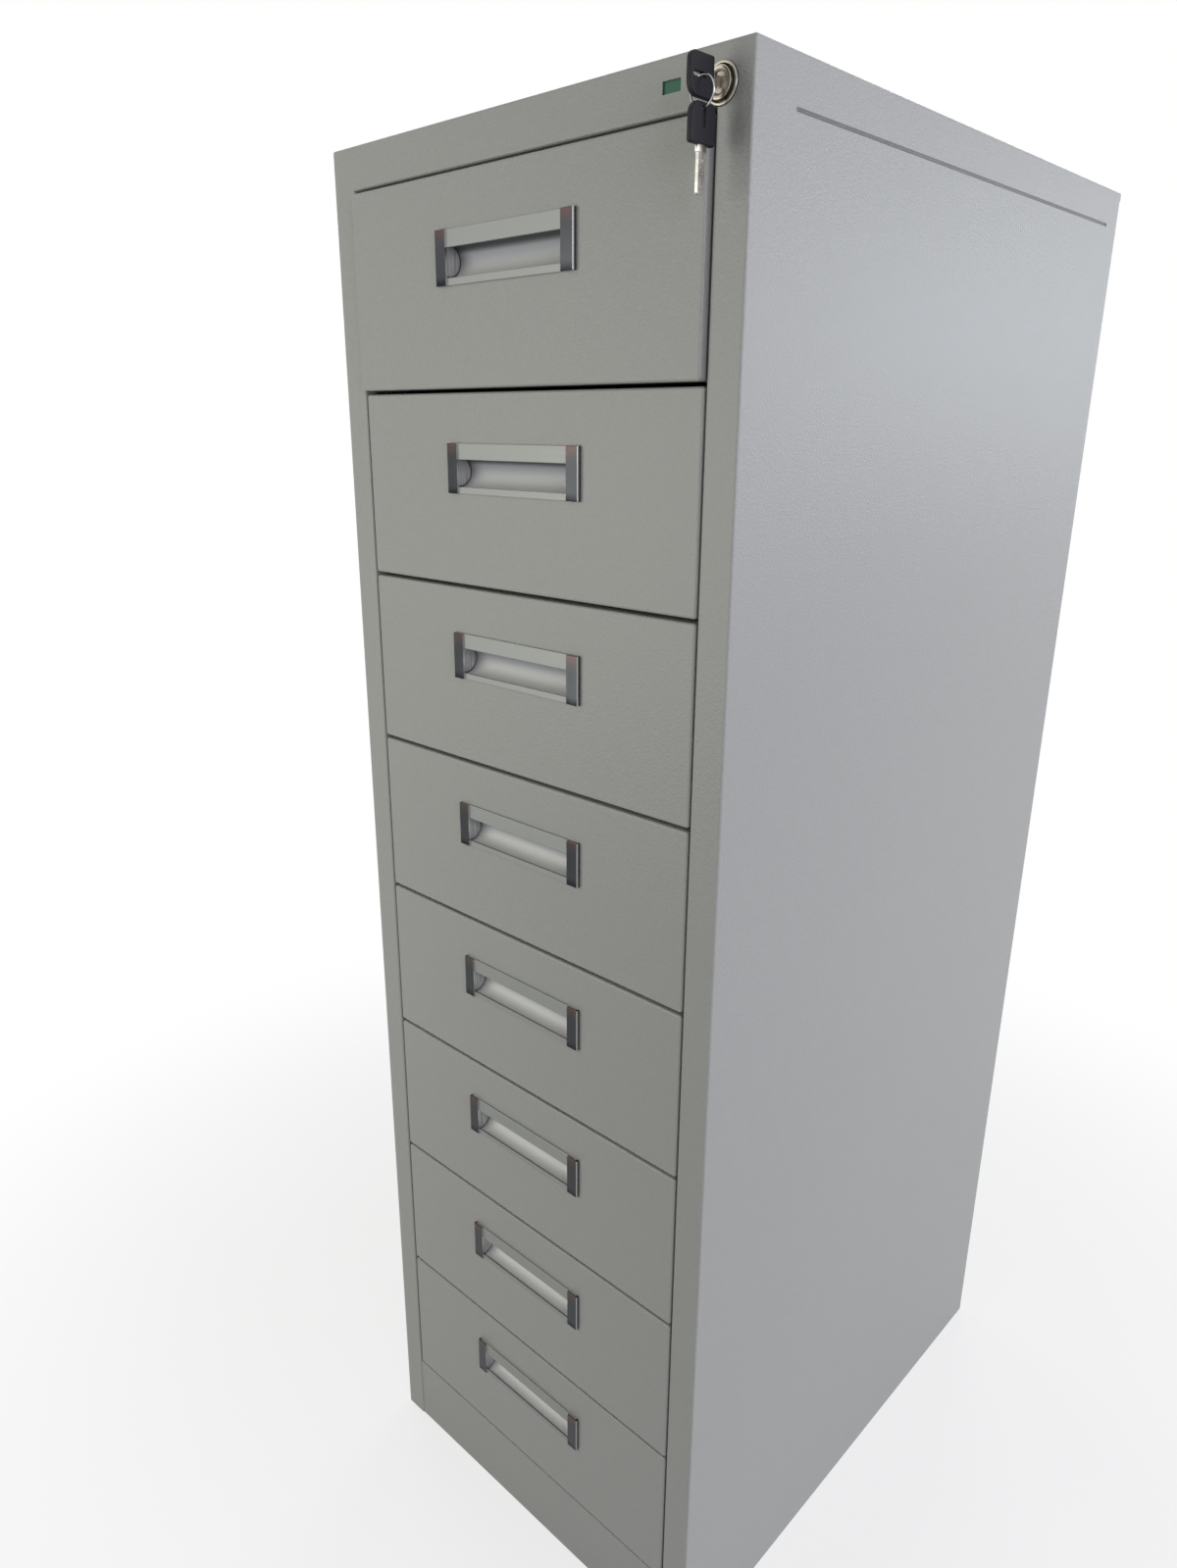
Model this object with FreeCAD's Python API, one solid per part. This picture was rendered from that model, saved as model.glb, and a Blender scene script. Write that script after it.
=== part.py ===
"""Eight-drawer steel storage cabinet for film and cards, in millimetres.

The origin is the centre of the case's footprint on the floor. +X is the user's right,
+Y runs from the drawer fronts to the back, +Z is up. The drawers are numbered from the
top. The top drawer is modelled a few millimetres open, all the others closed, and the
lock is open with its key in place.
"""
import FreeCAD, Part
import math
import os

# Case
cabinet_width = 436.0
cabinet_height = 1384.0
case_sheet = 1.0
case_bend = 2.0
stile_width = 28.0
stile_return = 12.0
top_rail = 33.5
top_turn_down = 8.0
top_joint_lap = 10.0
plinth = 81.0
plinth_lip = 15.0
kick_bend = 0.9
rear_flange = 16.0
rear_lip = 12.0
deck_flange = 15.0
base_leg = 25.0
base_sheet = 1.5

# Pressed line along the top of each side
groove_below_top = 31.6
groove_width = 3.0
groove_depth = 0.8
groove_from_front = 45.6
groove_from_back = 28.0

# Screws that hold the back
back_screw_rows = 5
back_screw_hole = 4.2
back_screw_shank = 4.0
back_screw_length = 10.0
back_screw_head = 8.0
back_screw_head_height = 2.4
back_screw_head_edge = 1.4
back_screw_end_distance = 60.0

# Drawer fronts and trays
drawer_count = 8
drawer_gap = 3.0
drawer_side_gap = 1.8
drawer_sheet = 1.0
front_depth = 18.0
front_bend = 2.0
front_corner = 2.5
top_drawer_ajar = 5.0
tray_height = 110.0
tray_back_height = 100.0
tray_above_front_edge = 6.0
tray_hem = 5.0
divider_height = 70.0
divider_foot = 12.0
tray_end_setback = 0.4

# Telescopic slides, three members a side
slide_length = 550.0
slide_thickness = 12.7
slide_height = 45.0
slide_sheet = 1.2
slide_play = 0.7
slide_setback = 20.0
behind_slides = 50.0
slide_above_tray_floor = 40.0
slide_opening_clearance = 0.4
slide_lip = 3.0
middle_lip = 2.0
ball_space = 3.8
outer_flange_stop = 3.2
middle_flange_stop = 2.7
retainer_share = 0.35
retainer_width = 6.0
retainer_gap = 0.3

# Uprights that carry the slides
post_width = 30.0
post_sheet = 1.2
front_post_setback = 48.0
rear_post_from_slide_end = 15.0

# Recessed pull
grip_width = 151.0
grip_height = 40.3
grip_below_front_top = 59.5
grip_lip_depth = 2.0
grip_upper_lip = 13.0
grip_lower_lip = 5.3
grip_overhang = 3.0
grip_wall = 1.4
grip_cap_width = 12.2
grip_cap_proud = 1.6
grip_cap_wall = 2.0
grip_cheek = 1.5
grip_hole_clearance = 0.3
grip_edge = 0.5

# Lock
lock_from_side = 24.4
lock_from_top = 22.4
lock_depth = 22.0
rosette_diameter = 24.8
rosette_height = 1.6
rosette_edge = 1.1
boss_diameter = 19.0
boss_height = 2.4
boss_edge = 1.0
thread_diameter = 16.0
lock_hole_clearance = 0.1
nut_across_flats = 19.0
nut_height = 4.0
plug_diameter = 12.0
plug_clearance = 0.08
plug_recess = 1.5
tail_square = 4.0
cam_sheet = 2.0
cam_hub = 12.0
cam_arm = 11.0
cam_arm_width = 7.0
cam_pin = 3.0
cam_play = 0.6
cam_gap = 0.2
cam_stud = 3.0
cam_nut_across_flats = 5.5
cam_nut_height = 2.4
lock_turn = 90.0

# Lock bar with one tab for each drawer
bar_width = 12.0
bar_sheet = 2.0
bar_from_side = 5.0
bar_gap = 0.3
bar_head_edge = 2.0
bar_tab_height = 8.0
bar_tab_lap = 3.5
catch_height = 10.0
catch_sheet = 2.0
catch_above_tray_floor = 86.0
catch_from_stile = 2.0
catch_play_when_locked = 5.5
bar_guide_height = 14.0
bar_guide_jaw = 3.5
bar_guide_clearance = 0.3

# Window in the top rail and the two-coloured flag behind it
window_width = 15.0
window_height = 7.5
window_from_side = 64.0
window_from_top = 17.0
flag_sheet = 0.8
flag_margin = 2.25
flag_end_margin = 1.0
flag_gap = 0.3
flag_arm_height = 6.0
flag_arm_edge = 2.4
runner_lap = 1.5
runner_wall = 1.0

# Keys and their ring
key_head_length = 22.5
key_head_width = 23.5
key_head_thickness = 4.0
key_far_corner = 5.0
key_near_corner = 1.5
key_head_edge = 0.8
key_slot_length = 12.0
key_slot_edge = 2.1
key_slot_slack = 2.0
key_shoulder_length = 4.0
key_shoulder_width = 8.5
key_blade_length = 26.8
key_blade_width = 6.0
key_blade_thickness = 2.2
key_blade_clearance = 0.15
key_tip_corner = 1.8
key_tip_clearance = 0.5
key_proud = 10.0
ring_wire = 1.3
ring_diameter = 17.4
ring_shift = 2.0
ring_seat = 0.9
ring_from_head_end = 11.4
spare_play = 0.3

# Two points this close are taken as one
same_place = 1e-6

# Places worked out from the sizes above
cabinet_depth = slide_setback + slide_length + behind_slides
half_width = cabinet_width / 2
inner_half = half_width - case_sheet
front = -cabinet_depth / 2
back = cabinet_depth / 2
half_opening = half_width - stile_width
rail_bottom = cabinet_height - top_rail
drawer_pitch = (rail_bottom - plinth - drawer_gap) / drawer_count
front_height = drawer_pitch - drawer_gap
front_half = half_opening - drawer_side_gap

slide_back = half_opening + slide_sheet + slide_play - slide_opening_clearance
tray_half = slide_back - slide_thickness
slide_front = front + slide_setback
slide_end = slide_front + slide_length
tray_front = front + front_depth
tray_end = slide_end - tray_end_setback

lock_x = half_width - lock_from_side
lock_z = cabinet_height - lock_from_top
lock_rear = front + lock_depth
cam_front = lock_rear + cam_gap
cam_rear = cam_front + cam_sheet
bar_front = cam_rear + bar_gap
bar_rear = bar_front + bar_sheet
swing = math.radians(lock_turn / 2)
bar_travel = 2 * cam_arm * math.sin(swing)
bar_outer = inner_half - bar_from_side
bar_inner = bar_outer - bar_width
catch_front = bar_rear + catch_play_when_locked
catch_tip = half_opening - catch_from_stile
flag_arm_front = bar_rear + 2 * bar_gap
flag_arm_rear = flag_arm_front + flag_sheet

key_slot_width = ring_wire + key_slot_slack
ring_radius = ring_diameter / 2
ring_y = front - key_proud - ring_from_head_end
ring_hang_z = lock_z - key_slot_width / 2 + ring_wire / 2 + ring_seat
ring_x = lock_x + ring_shift
ring_z = ring_hang_z - math.sqrt(ring_radius ** 2 - ring_shift ** 2)


def vec(x, y, z):
    """A point or direction."""
    return FreeCAD.Vector(x, y, z)


def box(x0, x1, y0, y1, z0, z1):
    """A block between two corners, given in either order."""
    low = vec(min(x0, x1), min(y0, y1), min(z0, z1))
    return Part.makeBox(abs(x1 - x0), abs(y1 - y0), abs(z1 - z0), low)


def rod_y(x, z, radius, y0, y1):
    """A round bar along Y."""
    return Part.makeCylinder(radius, y1 - y0, vec(x, y0, z), vec(0, 1, 0))


def hex_y(x, z, across_flats, y0, y1):
    """A hexagonal bar along Y with a flat on top and below."""
    reach = across_flats / math.sqrt(3)
    corners = [
        vec(x + reach * math.cos(math.radians(60 * i)), y0, z + reach * math.sin(math.radians(60 * i)))
        for i in range(7)
    ]
    return Part.Face(Part.makePolygon(corners)).extrude(vec(0, y1 - y0, 0))


def fuse(pieces):
    """One solid from pieces that touch or overlap."""
    return pieces[0].multiFuse(pieces[1:]).removeSplitter()


def mirror_x(shape):
    """The same shape on the other side of the cabinet's middle plane."""
    return shape.mirror(vec(0, 0, 0), vec(1, 0, 0))


def moved(shape, x=0.0, y=0.0, z=0.0):
    """A copy of a shape, shifted."""
    copy = shape.copy()
    copy.translate(vec(x, y, z))
    return copy


def edges_at(shape, **fixed):
    """The edges whose both ends have the given x, y or z values."""
    return [
        edge
        for edge in shape.Edges
        if all(
            abs(getattr(end, name.upper()) - value) < same_place
            for end in edge.Vertexes
            for name, value in fixed.items()
        )
    ]


def round_edges_at(shape, y):
    """The circular edges that lie in the plane at depth y."""
    return [edge for edge in shape.Edges if abs(edge.CenterOfMass.y - y) < same_place]


def both_sides(make):
    """The piece for the right-hand side and its mirror image."""
    right = make()
    return [right, mirror_x(right)]


def drawer_bottom(number):
    """The height of the lower edge of a drawer's front."""
    return plinth + drawer_gap + (drawer_count - number) * drawer_pitch


def tray_floor(number):
    """The height of the underside of a drawer's tray."""
    return drawer_bottom(number) + tray_above_front_edge


def slide_centre(number):
    """The height of the middle of a drawer's slides."""
    return tray_floor(number) + slide_above_tray_floor


def back_screw_points():
    """Where the screws of the back go, as x and z."""
    z_low = back_screw_end_distance
    step = (cabinet_height - top_rail - 2 * back_screw_end_distance) / (back_screw_rows - 1)
    x = half_width - rear_flange / 2
    return [(side * x, z_low + row * step) for row in range(back_screw_rows) for side in (-1, 1)]


def back_screw_holes():
    """Cutters for the screw holes through the flanges and the back."""
    y0 = back - back_screw_length
    y1 = back + case_sheet
    return [rod_y(x, z, back_screw_hole / 2, y0, y1) for x, z in back_screw_points()]


# The case


def pressed_line(x_face):
    """A shallow round-bottomed bar along the side, as deep as the pressed line, below a face."""
    z = cabinet_height - groove_below_top
    y0 = front + groove_from_front
    y1 = back - groove_from_back
    half = groove_width / 2
    radius = (half ** 2 + groove_depth ** 2) / (2 * groove_depth)
    bar = Part.makeCylinder(radius, y1 - y0, vec(x_face - groove_depth + radius, y0, z), vec(0, 1, 0))
    return bar.common(box(x_face - 2 * radius, x_face, y0, y1, z - half, z + half))


def side_panel():
    """The right-hand side with its front stile, rear flange and pressed line."""
    side_top = cabinet_height - top_turn_down
    side = fuse([
        box(inner_half, half_width, front, back, 0, rail_bottom),
        box(inner_half, half_width, front + case_sheet, back, 0, side_top),
        box(half_opening, half_width, front, front + case_sheet, 0, rail_bottom),
        box(half_opening, half_opening + case_sheet, front, front + stile_return, plinth, rail_bottom),
        box(half_width - rear_flange, half_width, back - case_sheet, back, 0, side_top),
    ])
    side = side.makeFillet(case_bend, edges_at(side, x=half_width, y=front))
    side = side.makeFillet(case_bend, edges_at(side, x=half_opening, y=front))
    side = side.makeFillet(case_bend, edges_at(side, x=half_width, y=back))
    joint_lap = box(
        inner_half - case_sheet, inner_half, front + case_sheet, back - 2 * case_sheet,
        side_top - top_joint_lap, cabinet_height - case_sheet,
    )
    side = side.fuse(pressed_line(inner_half)).removeSplitter()
    side = side.cut(pressed_line(half_width))
    side = fuse([side, joint_lap])
    return side.cut(back_screw_holes())


def top_panel():
    """The top with its turned-down sides and the rail above the drawers."""
    side_low = cabinet_height - top_turn_down
    inner_top = cabinet_height - case_sheet
    shell = box(-half_width, half_width, front, back, side_low, cabinet_height)
    rail = box(-half_width, half_width, front, front + case_sheet, rail_bottom, cabinet_height)
    top = fuse([shell, rail])
    corners = edges_at(top, y=front, z=cabinet_height)
    for side in (-half_width, half_width):
        corners += edges_at(top, x=side, z=cabinet_height)
        corners += edges_at(top, x=side, y=front)
    top = top.makeFillet(case_bend, corners)
    top = top.cut(box(-inner_half, inner_half, front + case_sheet, back - case_sheet, side_low, inner_top))
    rear_cut = half_width - rear_flange
    top = fuse([
        top,
        box(-half_opening, half_opening, front + case_sheet / 2, front + stile_return,
            rail_bottom, rail_bottom + case_sheet),
        box(-rear_cut, rear_cut, back - case_sheet, back, inner_top - rear_lip, side_low),
    ])
    bend_y = front + case_bend
    bend_z = rail_bottom + case_bend
    bend = box(-half_opening, half_opening, front, bend_y, rail_bottom, bend_z).cut(
        Part.makeCylinder(case_bend, 2 * half_opening, vec(-half_opening, bend_y, bend_z), vec(1, 0, 0))
    )
    lock_hole = rod_y(
        lock_x, lock_z, thread_diameter / 2 + lock_hole_clearance, front - case_sheet, front + 2 * case_sheet
    )
    return top.cut([bend, lock_hole, window_block(front - case_sheet, front + 2 * case_sheet)])


def window_block(y0, y1):
    """The window's outline as a block between two depths."""
    x = half_width - window_from_side
    z = cabinet_height - window_from_top
    half_w = window_width / 2
    half_h = window_height / 2
    return box(x - half_w, x + half_w, y0, y1, z - half_h, z + half_h)


def back_panel():
    """The back, held inside the rear flanges."""
    y0 = back - 2 * case_sheet
    sheet = box(-inner_half, inner_half, y0, y0 + case_sheet, 0, cabinet_height - case_sheet)
    return sheet.cut(back_screw_holes())


def deck():
    """The floor of the case, at the top of the plinth, with its sides turned down."""
    top = plinth - case_sheet
    y0 = front + 2 * case_sheet
    y1 = back - 2 * case_sheet
    flange = box(inner_half - case_sheet, inner_half, y0, y1, top - deck_flange, top)
    sheet = box(-inner_half, inner_half, y0, y1, top - case_sheet, top)
    return fuse([sheet, flange, mirror_x(flange)])


def kick_plate():
    """The plate below the drawers, set back behind the stiles, with a lip over the deck."""
    y0 = front + case_sheet
    plate = box(-inner_half, inner_half, y0, y0 + case_sheet, 0, plinth - case_sheet)
    lip = box(-half_opening, half_opening, y0, y0 + plinth_lip, plinth - case_sheet, plinth)
    kick = fuse([plate, lip])
    return kick.makeFillet(kick_bend, edges_at(kick, y=y0, z=plinth))


def base_frame():
    """The angle frame that the cabinet stands on."""
    y0 = front + 2 * case_sheet
    y1 = back - 2 * case_sheet
    outer = box(-inner_half, inner_half, y0, y1, 0, base_leg)
    wide = inner_half - base_sheet
    narrow = inner_half - base_leg
    upright_hole = box(-wide, wide, y0 + base_sheet, y1 - base_sheet, base_sheet, base_leg)
    floor_hole = box(-narrow, narrow, y0 + base_leg, y1 - base_leg, 0, base_sheet)
    return outer.cut([upright_hole, floor_hole])


def slide_posts():
    """Four channels inside the sides, which the slides are fixed to."""
    z0 = plinth - case_sheet
    front_y = front + front_post_setback
    rear_y = slide_end - rear_post_from_slide_end - post_width
    posts = []
    for y0 in (front_y, rear_y):
        block = box(slide_back, inner_half, y0, y0 + post_width, z0, rail_bottom)
        hollow = box(slide_back + post_sheet, inner_half, y0 + post_sheet, y0 + post_width - post_sheet,
                     z0, rail_bottom)
        post = block.cut(hollow)
        posts += [post, mirror_x(post)]
    return posts


def back_screws():
    """The screws of the back, seen from behind."""
    screws = []
    for x, z in back_screw_points():
        shank = rod_y(x, z, back_screw_shank / 2, back - back_screw_length, back)
        head = rod_y(x, z, back_screw_head / 2, back, back + back_screw_head_height)
        head = head.makeFillet(back_screw_head_edge, round_edges_at(head, back + back_screw_head_height))
        screws.append(fuse([head, shank]))
    return screws


# The slides


def channel(u_web, u_lip, height, lip, y0, y1, number):
    """A right-hand channel, with its web at u_web and its lips at u_lip from the slide's back."""
    z = slide_centre(number)
    half = height / 2
    web_side = slide_sheet if u_lip > u_web else -slide_sheet
    x_web = slide_back - u_web
    x_lip = slide_back - u_lip
    pieces = [
        box(x_web, x_web - web_side, y0, y1, z - half, z + half),
        box(x_web, x_lip, y0, y1, z + half - slide_sheet, z + half),
        box(x_web, x_lip, y0, y1, z - half, z - half + slide_sheet),
    ]
    if lip:
        for side in (-1, 1):
            pieces.append(box(x_lip, x_lip + web_side, y0, y1, z + side * half, z + side * (half - lip)))
    return fuse(pieces)


def outer_slide(number):
    """The member fixed to the posts, right-hand side."""
    stop = slide_thickness - outer_flange_stop
    return channel(0.0, stop, slide_height, slide_lip, slide_front, slide_end, number)


def middle_slide(number):
    """The member that follows at half the drawer's travel, right-hand side."""
    height = slide_height - 2 * (slide_sheet + ball_space)
    start = slide_sheet + slide_play
    stop = slide_thickness - middle_flange_stop
    return channel(start, stop, height, slide_sheet + middle_lip, slide_front, slide_end, number)


def inner_slide(number):
    """The member fixed to the tray, right-hand side, with its back against the tray."""
    height = slide_height - 4 * (slide_sheet + ball_space) - slide_sheet
    stop = 2 * (slide_sheet + slide_play)
    return channel(slide_thickness, stop, height, 0, slide_front, slide_end, number)


def ball_retainers(number):
    """The strips that hold the balls above and below the middle member, right-hand side."""
    z = slide_centre(number)
    length = slide_length * retainer_share
    outer_half = slide_height / 2 - slide_sheet
    inner_half_height = outer_half - ball_space - slide_sheet
    x_outer = slide_back - slide_sheet - slide_play
    x_inner = x_outer - slide_sheet - slide_play
    strips = []
    for half, x, y0, y1 in (
        (outer_half, x_outer, slide_end - length, slide_end - slide_play),
        (inner_half_height, x_inner, slide_front + slide_play, slide_front + length),
    ):
        high = half - retainer_gap
        low = half - ball_space + retainer_gap
        strips += [box(x, x - retainer_width, y0, y1, z + side * low, z + side * high) for side in (-1, 1)]
    return strips


# The drawers, each modelled closed


def drawer_front(number):
    """The folded outer front with the hole for the pull."""
    z0 = drawer_bottom(number)
    z1 = z0 + front_height
    shell = box(-front_half, front_half, front, tray_front, z0, z1)
    corners = []
    for x in (-front_half, front_half):
        corners += edges_at(shell, x=x, z=z0) + edges_at(shell, x=x, z=z1)
    shell = shell.makeFillet(front_corner, corners)
    rim = [edge for edge in shell.Edges if all(abs(end.Y - front) < same_place for end in edge.Vertexes)]
    shell = shell.makeFillet(front_bend, rim)
    t = drawer_sheet
    hollow = box(t - front_half, front_half - t, front + t, tray_front, z0 + t, z1 - t)
    return shell.cut([hollow, grip_hole(number)])


def grip_centre(number):
    """The height of the middle of a drawer's pull."""
    return drawer_bottom(number) + front_height - grip_below_front_top


def trough():
    """The pull's trough: its radius and how far its axis lies above the pull's middle."""
    low = grip_lower_lip - grip_height / 2
    high = grip_height / 2 - grip_upper_lip + grip_overhang
    return (high - low) / 2, (high + low) / 2


def grip_hole(number):
    """The hole in the front that the pull's trough goes through."""
    radius, rise = trough()
    half = radius + grip_wall + grip_hole_clearance
    z = grip_centre(number) + rise
    x = grip_width / 2 - grip_cap_wall + grip_hole_clearance
    return box(-x, x, front - drawer_sheet, front + 2 * drawer_sheet, z - half, z + half)


def grip_profile(x, z, outline):
    """A closed face in the plane of constant x from a list of lines and arcs through (y, z) points."""
    edges = []
    for step in outline:
        points = [vec(x, front + y, z + height) for y, height in step]
        edges.append(Part.LineSegment(*points) if len(points) == 2 else Part.Arc(*points))
    return Part.Face(Part.Wire([edge.toShape() for edge in edges]))


def grip(number):
    """The aluminium pull: an upper lip, a round trough behind it and a narrow lower lip."""
    radius, rise = trough()
    outer = radius + grip_wall
    half = grip_height / 2
    lip = -grip_lip_depth
    upper = half - grip_upper_lip
    lower = grip_lower_lip - half
    outline = [
        [(lip, half), (lip, upper)],
        [(lip, upper), (0, upper)],
        [(0, upper), (0, rise + radius)],
        [(0, rise + radius), (radius, rise), (0, rise - radius)],
        [(0, rise - radius), (lip, lower)],
        [(lip, lower), (lip, -half)],
        [(lip, -half), (0, -half)],
        [(0, -half), (0, rise - outer)],
        [(0, rise - outer), (outer, rise), (0, rise + outer)],
        [(0, rise + outer), (0, half)],
        [(0, half), (lip, half)],
    ]
    x = grip_width / 2 - grip_cap_wall
    bar = grip_profile(-x, grip_centre(number), outline).extrude(vec(2 * x, 0, 0))
    z = grip_centre(number)
    sharp = edges_at(bar, y=front + lip, z=z + half) + edges_at(bar, y=front + lip, z=z - half)
    sharp += edges_at(bar, y=front + lip, z=z + upper)
    return bar.makeFillet(grip_edge, sharp)


def grip_cap(number):
    """The right-hand end cap of the pull, with the cheek that closes the trough."""
    radius, rise = trough()
    z = grip_centre(number)
    half = grip_height / 2
    end = grip_width / 2
    face = front - grip_lip_depth
    plate = box(end - grip_cap_width, end, face - grip_cap_proud, face, z - half, z + half)
    wall = box(end - grip_cap_wall, end, face - grip_cap_proud, front, z - half, z + half)
    cap = fuse([plate, wall])
    rim = edges_at(cap, x=end, y=face - grip_cap_proud)
    for height in (z - half, z + half):
        rim += edges_at(cap, y=face - grip_cap_proud, z=height)
    cap = cap.makeFillet(grip_edge, rim)
    outline = [
        [(-grip_lip_depth, rise + radius - grip_overhang), (0, rise + radius - grip_overhang)],
        [(0, rise + radius - grip_overhang), (0, rise + radius)],
        [(0, rise + radius), (radius, rise), (0, rise - radius)],
        [(0, rise - radius), (-grip_lip_depth, rise - radius)],
        [(-grip_lip_depth, rise - radius), (-grip_lip_depth, rise + radius - grip_overhang)],
    ]
    x = end - grip_cap_width
    cheek = grip_profile(x, z, outline).extrude(vec(grip_cheek, 0, 0))
    return fuse([cap, cheek])


def tray(number):
    """The sheet tray with rolled side edges, its front liner, and the catch for the lock bar."""
    t = drawer_sheet
    z0 = tray_floor(number)
    z1 = z0 + tray_height
    liner_half = front_half - t
    liner_low = drawer_bottom(number) + t
    liner_high = drawer_bottom(number) + front_height - t
    side = fuse([
        box(tray_half - t, tray_half, tray_front, tray_end, z0, z1),
        box(tray_half - tray_hem, tray_half, tray_front, tray_end, z1 - t, z1),
    ])
    catch_z = z0 + catch_above_tray_floor
    shell = fuse([
        box(-tray_half, tray_half, tray_front, tray_end, z0, z0 + t),
        side,
        mirror_x(side),
        box(-tray_half, tray_half, tray_end - t, tray_end, z0, z0 + tray_back_height),
    ])
    liner = box(-liner_half, liner_half, tray_front - t, tray_front, liner_low, liner_high)
    catch = box(
        tray_half, catch_tip, catch_front, catch_front + catch_sheet, catch_z, catch_z + catch_height
    )
    return [shell, liner, catch]


def divider(number):
    """The partition down the middle of the tray, with a foot along its floor."""
    t = drawer_sheet
    z0 = tray_floor(number) + t
    y1 = tray_end - t
    return fuse([
        box(-t / 2, t / 2, tray_front, y1, z0, z0 + divider_height),
        box(-t / 2, divider_foot, tray_front, y1, z0, z0 + t),
    ])


# The lock


def lock_housing():
    """The barrel with its rosette and boss."""
    bore = plug_diameter / 2 + plug_clearance
    rosette_face = front - rosette_height
    rosette = rod_y(lock_x, lock_z, rosette_diameter / 2, rosette_face, front)
    rosette = rosette.makeFillet(rosette_edge, round_edges_at(rosette, rosette_face))
    boss_face = rosette_face - boss_height
    boss = rod_y(lock_x, lock_z, boss_diameter / 2, boss_face, rosette_face)
    boss = boss.makeFillet(boss_edge, round_edges_at(boss, boss_face))
    barrel = rod_y(lock_x, lock_z, thread_diameter / 2, front, lock_rear)
    return fuse([rosette, boss, barrel]).cut(rod_y(lock_x, lock_z, bore, boss_face, lock_rear))


def lock_nut():
    """The nut that clamps the lock to the rail from behind."""
    y0 = front + case_sheet
    nut = hex_y(lock_x, lock_z, nut_across_flats, y0, y0 + nut_height)
    return nut.cut(rod_y(lock_x, lock_z, thread_diameter / 2, y0, y0 + nut_height))


def lock_plug():
    """The turning plug with its keyway and the square tail that carries the cam."""
    face = front - rosette_height - boss_height + plug_recess
    plug = rod_y(lock_x, lock_z, plug_diameter / 2, face, lock_rear)
    half = tail_square / 2
    tail_end = cam_rear + cam_nut_height
    tail = box(lock_x - half, lock_x + half, lock_rear, cam_rear, lock_z - half, lock_z + half)
    stud = rod_y(lock_x, lock_z, cam_stud / 2, cam_rear, tail_end)
    tip = front - key_proud + key_blade_length + key_tip_clearance
    x = key_blade_thickness / 2 + key_blade_clearance
    z = key_blade_width / 2 + key_blade_clearance
    keyway = box(lock_x - x, lock_x + x, face, tip, lock_z - z, lock_z + z)
    return fuse([plug.cut(keyway), tail, stud])


def cam_arm_plate(angle):
    """One arm of the cam, pointing at an angle above the user's right."""
    half = cam_arm_width / 2
    arm = fuse([
        box(lock_x, lock_x + cam_arm, cam_front, cam_rear, lock_z - half, lock_z + half),
        rod_y(lock_x + cam_arm, lock_z, half, cam_front, cam_rear),
    ])
    arm.rotate(vec(lock_x, 0, lock_z), vec(0, -1, 0), angle)
    return arm


def cam_pin_at(angle, y1):
    """A pin on the cam, from the cam's rear face to y1."""
    x = lock_x + cam_arm * math.cos(math.radians(angle))
    z = lock_z + cam_arm * math.sin(math.radians(angle))
    return rod_y(x, z, cam_pin / 2, cam_front, y1)


def lock_cam():
    """The two-armed cam: the lower arm lifts the bar, the upper one shifts the flag."""
    half_turn = lock_turn / 2
    half = tail_square / 2
    plate = fuse([
        rod_y(lock_x, lock_z, cam_hub / 2, cam_front, cam_rear),
        cam_arm_plate(-half_turn),
        cam_arm_plate(half_turn),
        cam_pin_at(-half_turn, bar_rear + bar_gap / 2),
        cam_pin_at(half_turn, flag_arm_rear + bar_gap),
    ])
    plate = plate.cut(box(lock_x - half, lock_x + half, cam_front, cam_rear, lock_z - half, lock_z + half))
    nut = hex_y(lock_x, lock_z, cam_nut_across_flats, cam_rear, cam_rear + cam_nut_height)
    return [plate, nut.cut(rod_y(lock_x, lock_z, cam_stud / 2, cam_rear, cam_rear + cam_nut_height))]


def slot_reach():
    """The nearest and farthest distance of the cam's pins beside the lock's axis."""
    return cam_arm * math.cos(swing), cam_arm


def lock_bar():
    """The flat bar behind the right-hand stile, with its slotted head and a tab for each drawer."""
    near, far = slot_reach()
    slot_x0 = lock_x + near - cam_pin / 2 - cam_play
    slot_x1 = lock_x + far + cam_pin / 2 + cam_play
    slot_z = lock_z - cam_arm * math.sin(swing)
    slot_half = cam_pin / 2 + cam_play
    head_half = slot_half + bar_head_edge
    low = tray_floor(drawer_count) + catch_above_tray_floor - bar_travel - bar_tab_height
    strip = box(bar_inner, bar_outer, bar_front, bar_rear, low, slot_z - head_half)
    head_x = slot_x0 - bar_head_edge
    head = box(head_x, bar_outer, bar_front, bar_rear, slot_z - head_half, slot_z + head_half)
    slot = box(slot_x0, slot_x1, bar_front, bar_rear, slot_z - slot_half, slot_z + slot_half)
    tab_tip = front_half - bar_tab_lap
    tabs = []
    for number in range(1, drawer_count + 1):
        middle = tray_floor(number) + catch_above_tray_floor + catch_height / 2 - bar_travel
        tabs.append(box(
            tab_tip, bar_inner, bar_front, bar_rear, middle - bar_tab_height / 2, middle + bar_tab_height / 2
        ))
    return [strip, head.cut(slot)] + tabs


def bar_guide(number):
    """A block on the right-hand side, with a slot that the bar runs in."""
    z = slide_centre(number)
    c = bar_guide_clearance
    block = box(
        bar_inner + c, inner_half, bar_front - c - bar_guide_jaw, bar_rear + c + bar_guide_jaw,
        z - bar_guide_height / 2, z + bar_guide_height / 2,
    )
    slot = box(bar_inner, bar_outer + c, bar_front - c, bar_rear + c,
               z - bar_guide_height, z + bar_guide_height)
    return block.cut(slot)


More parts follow.
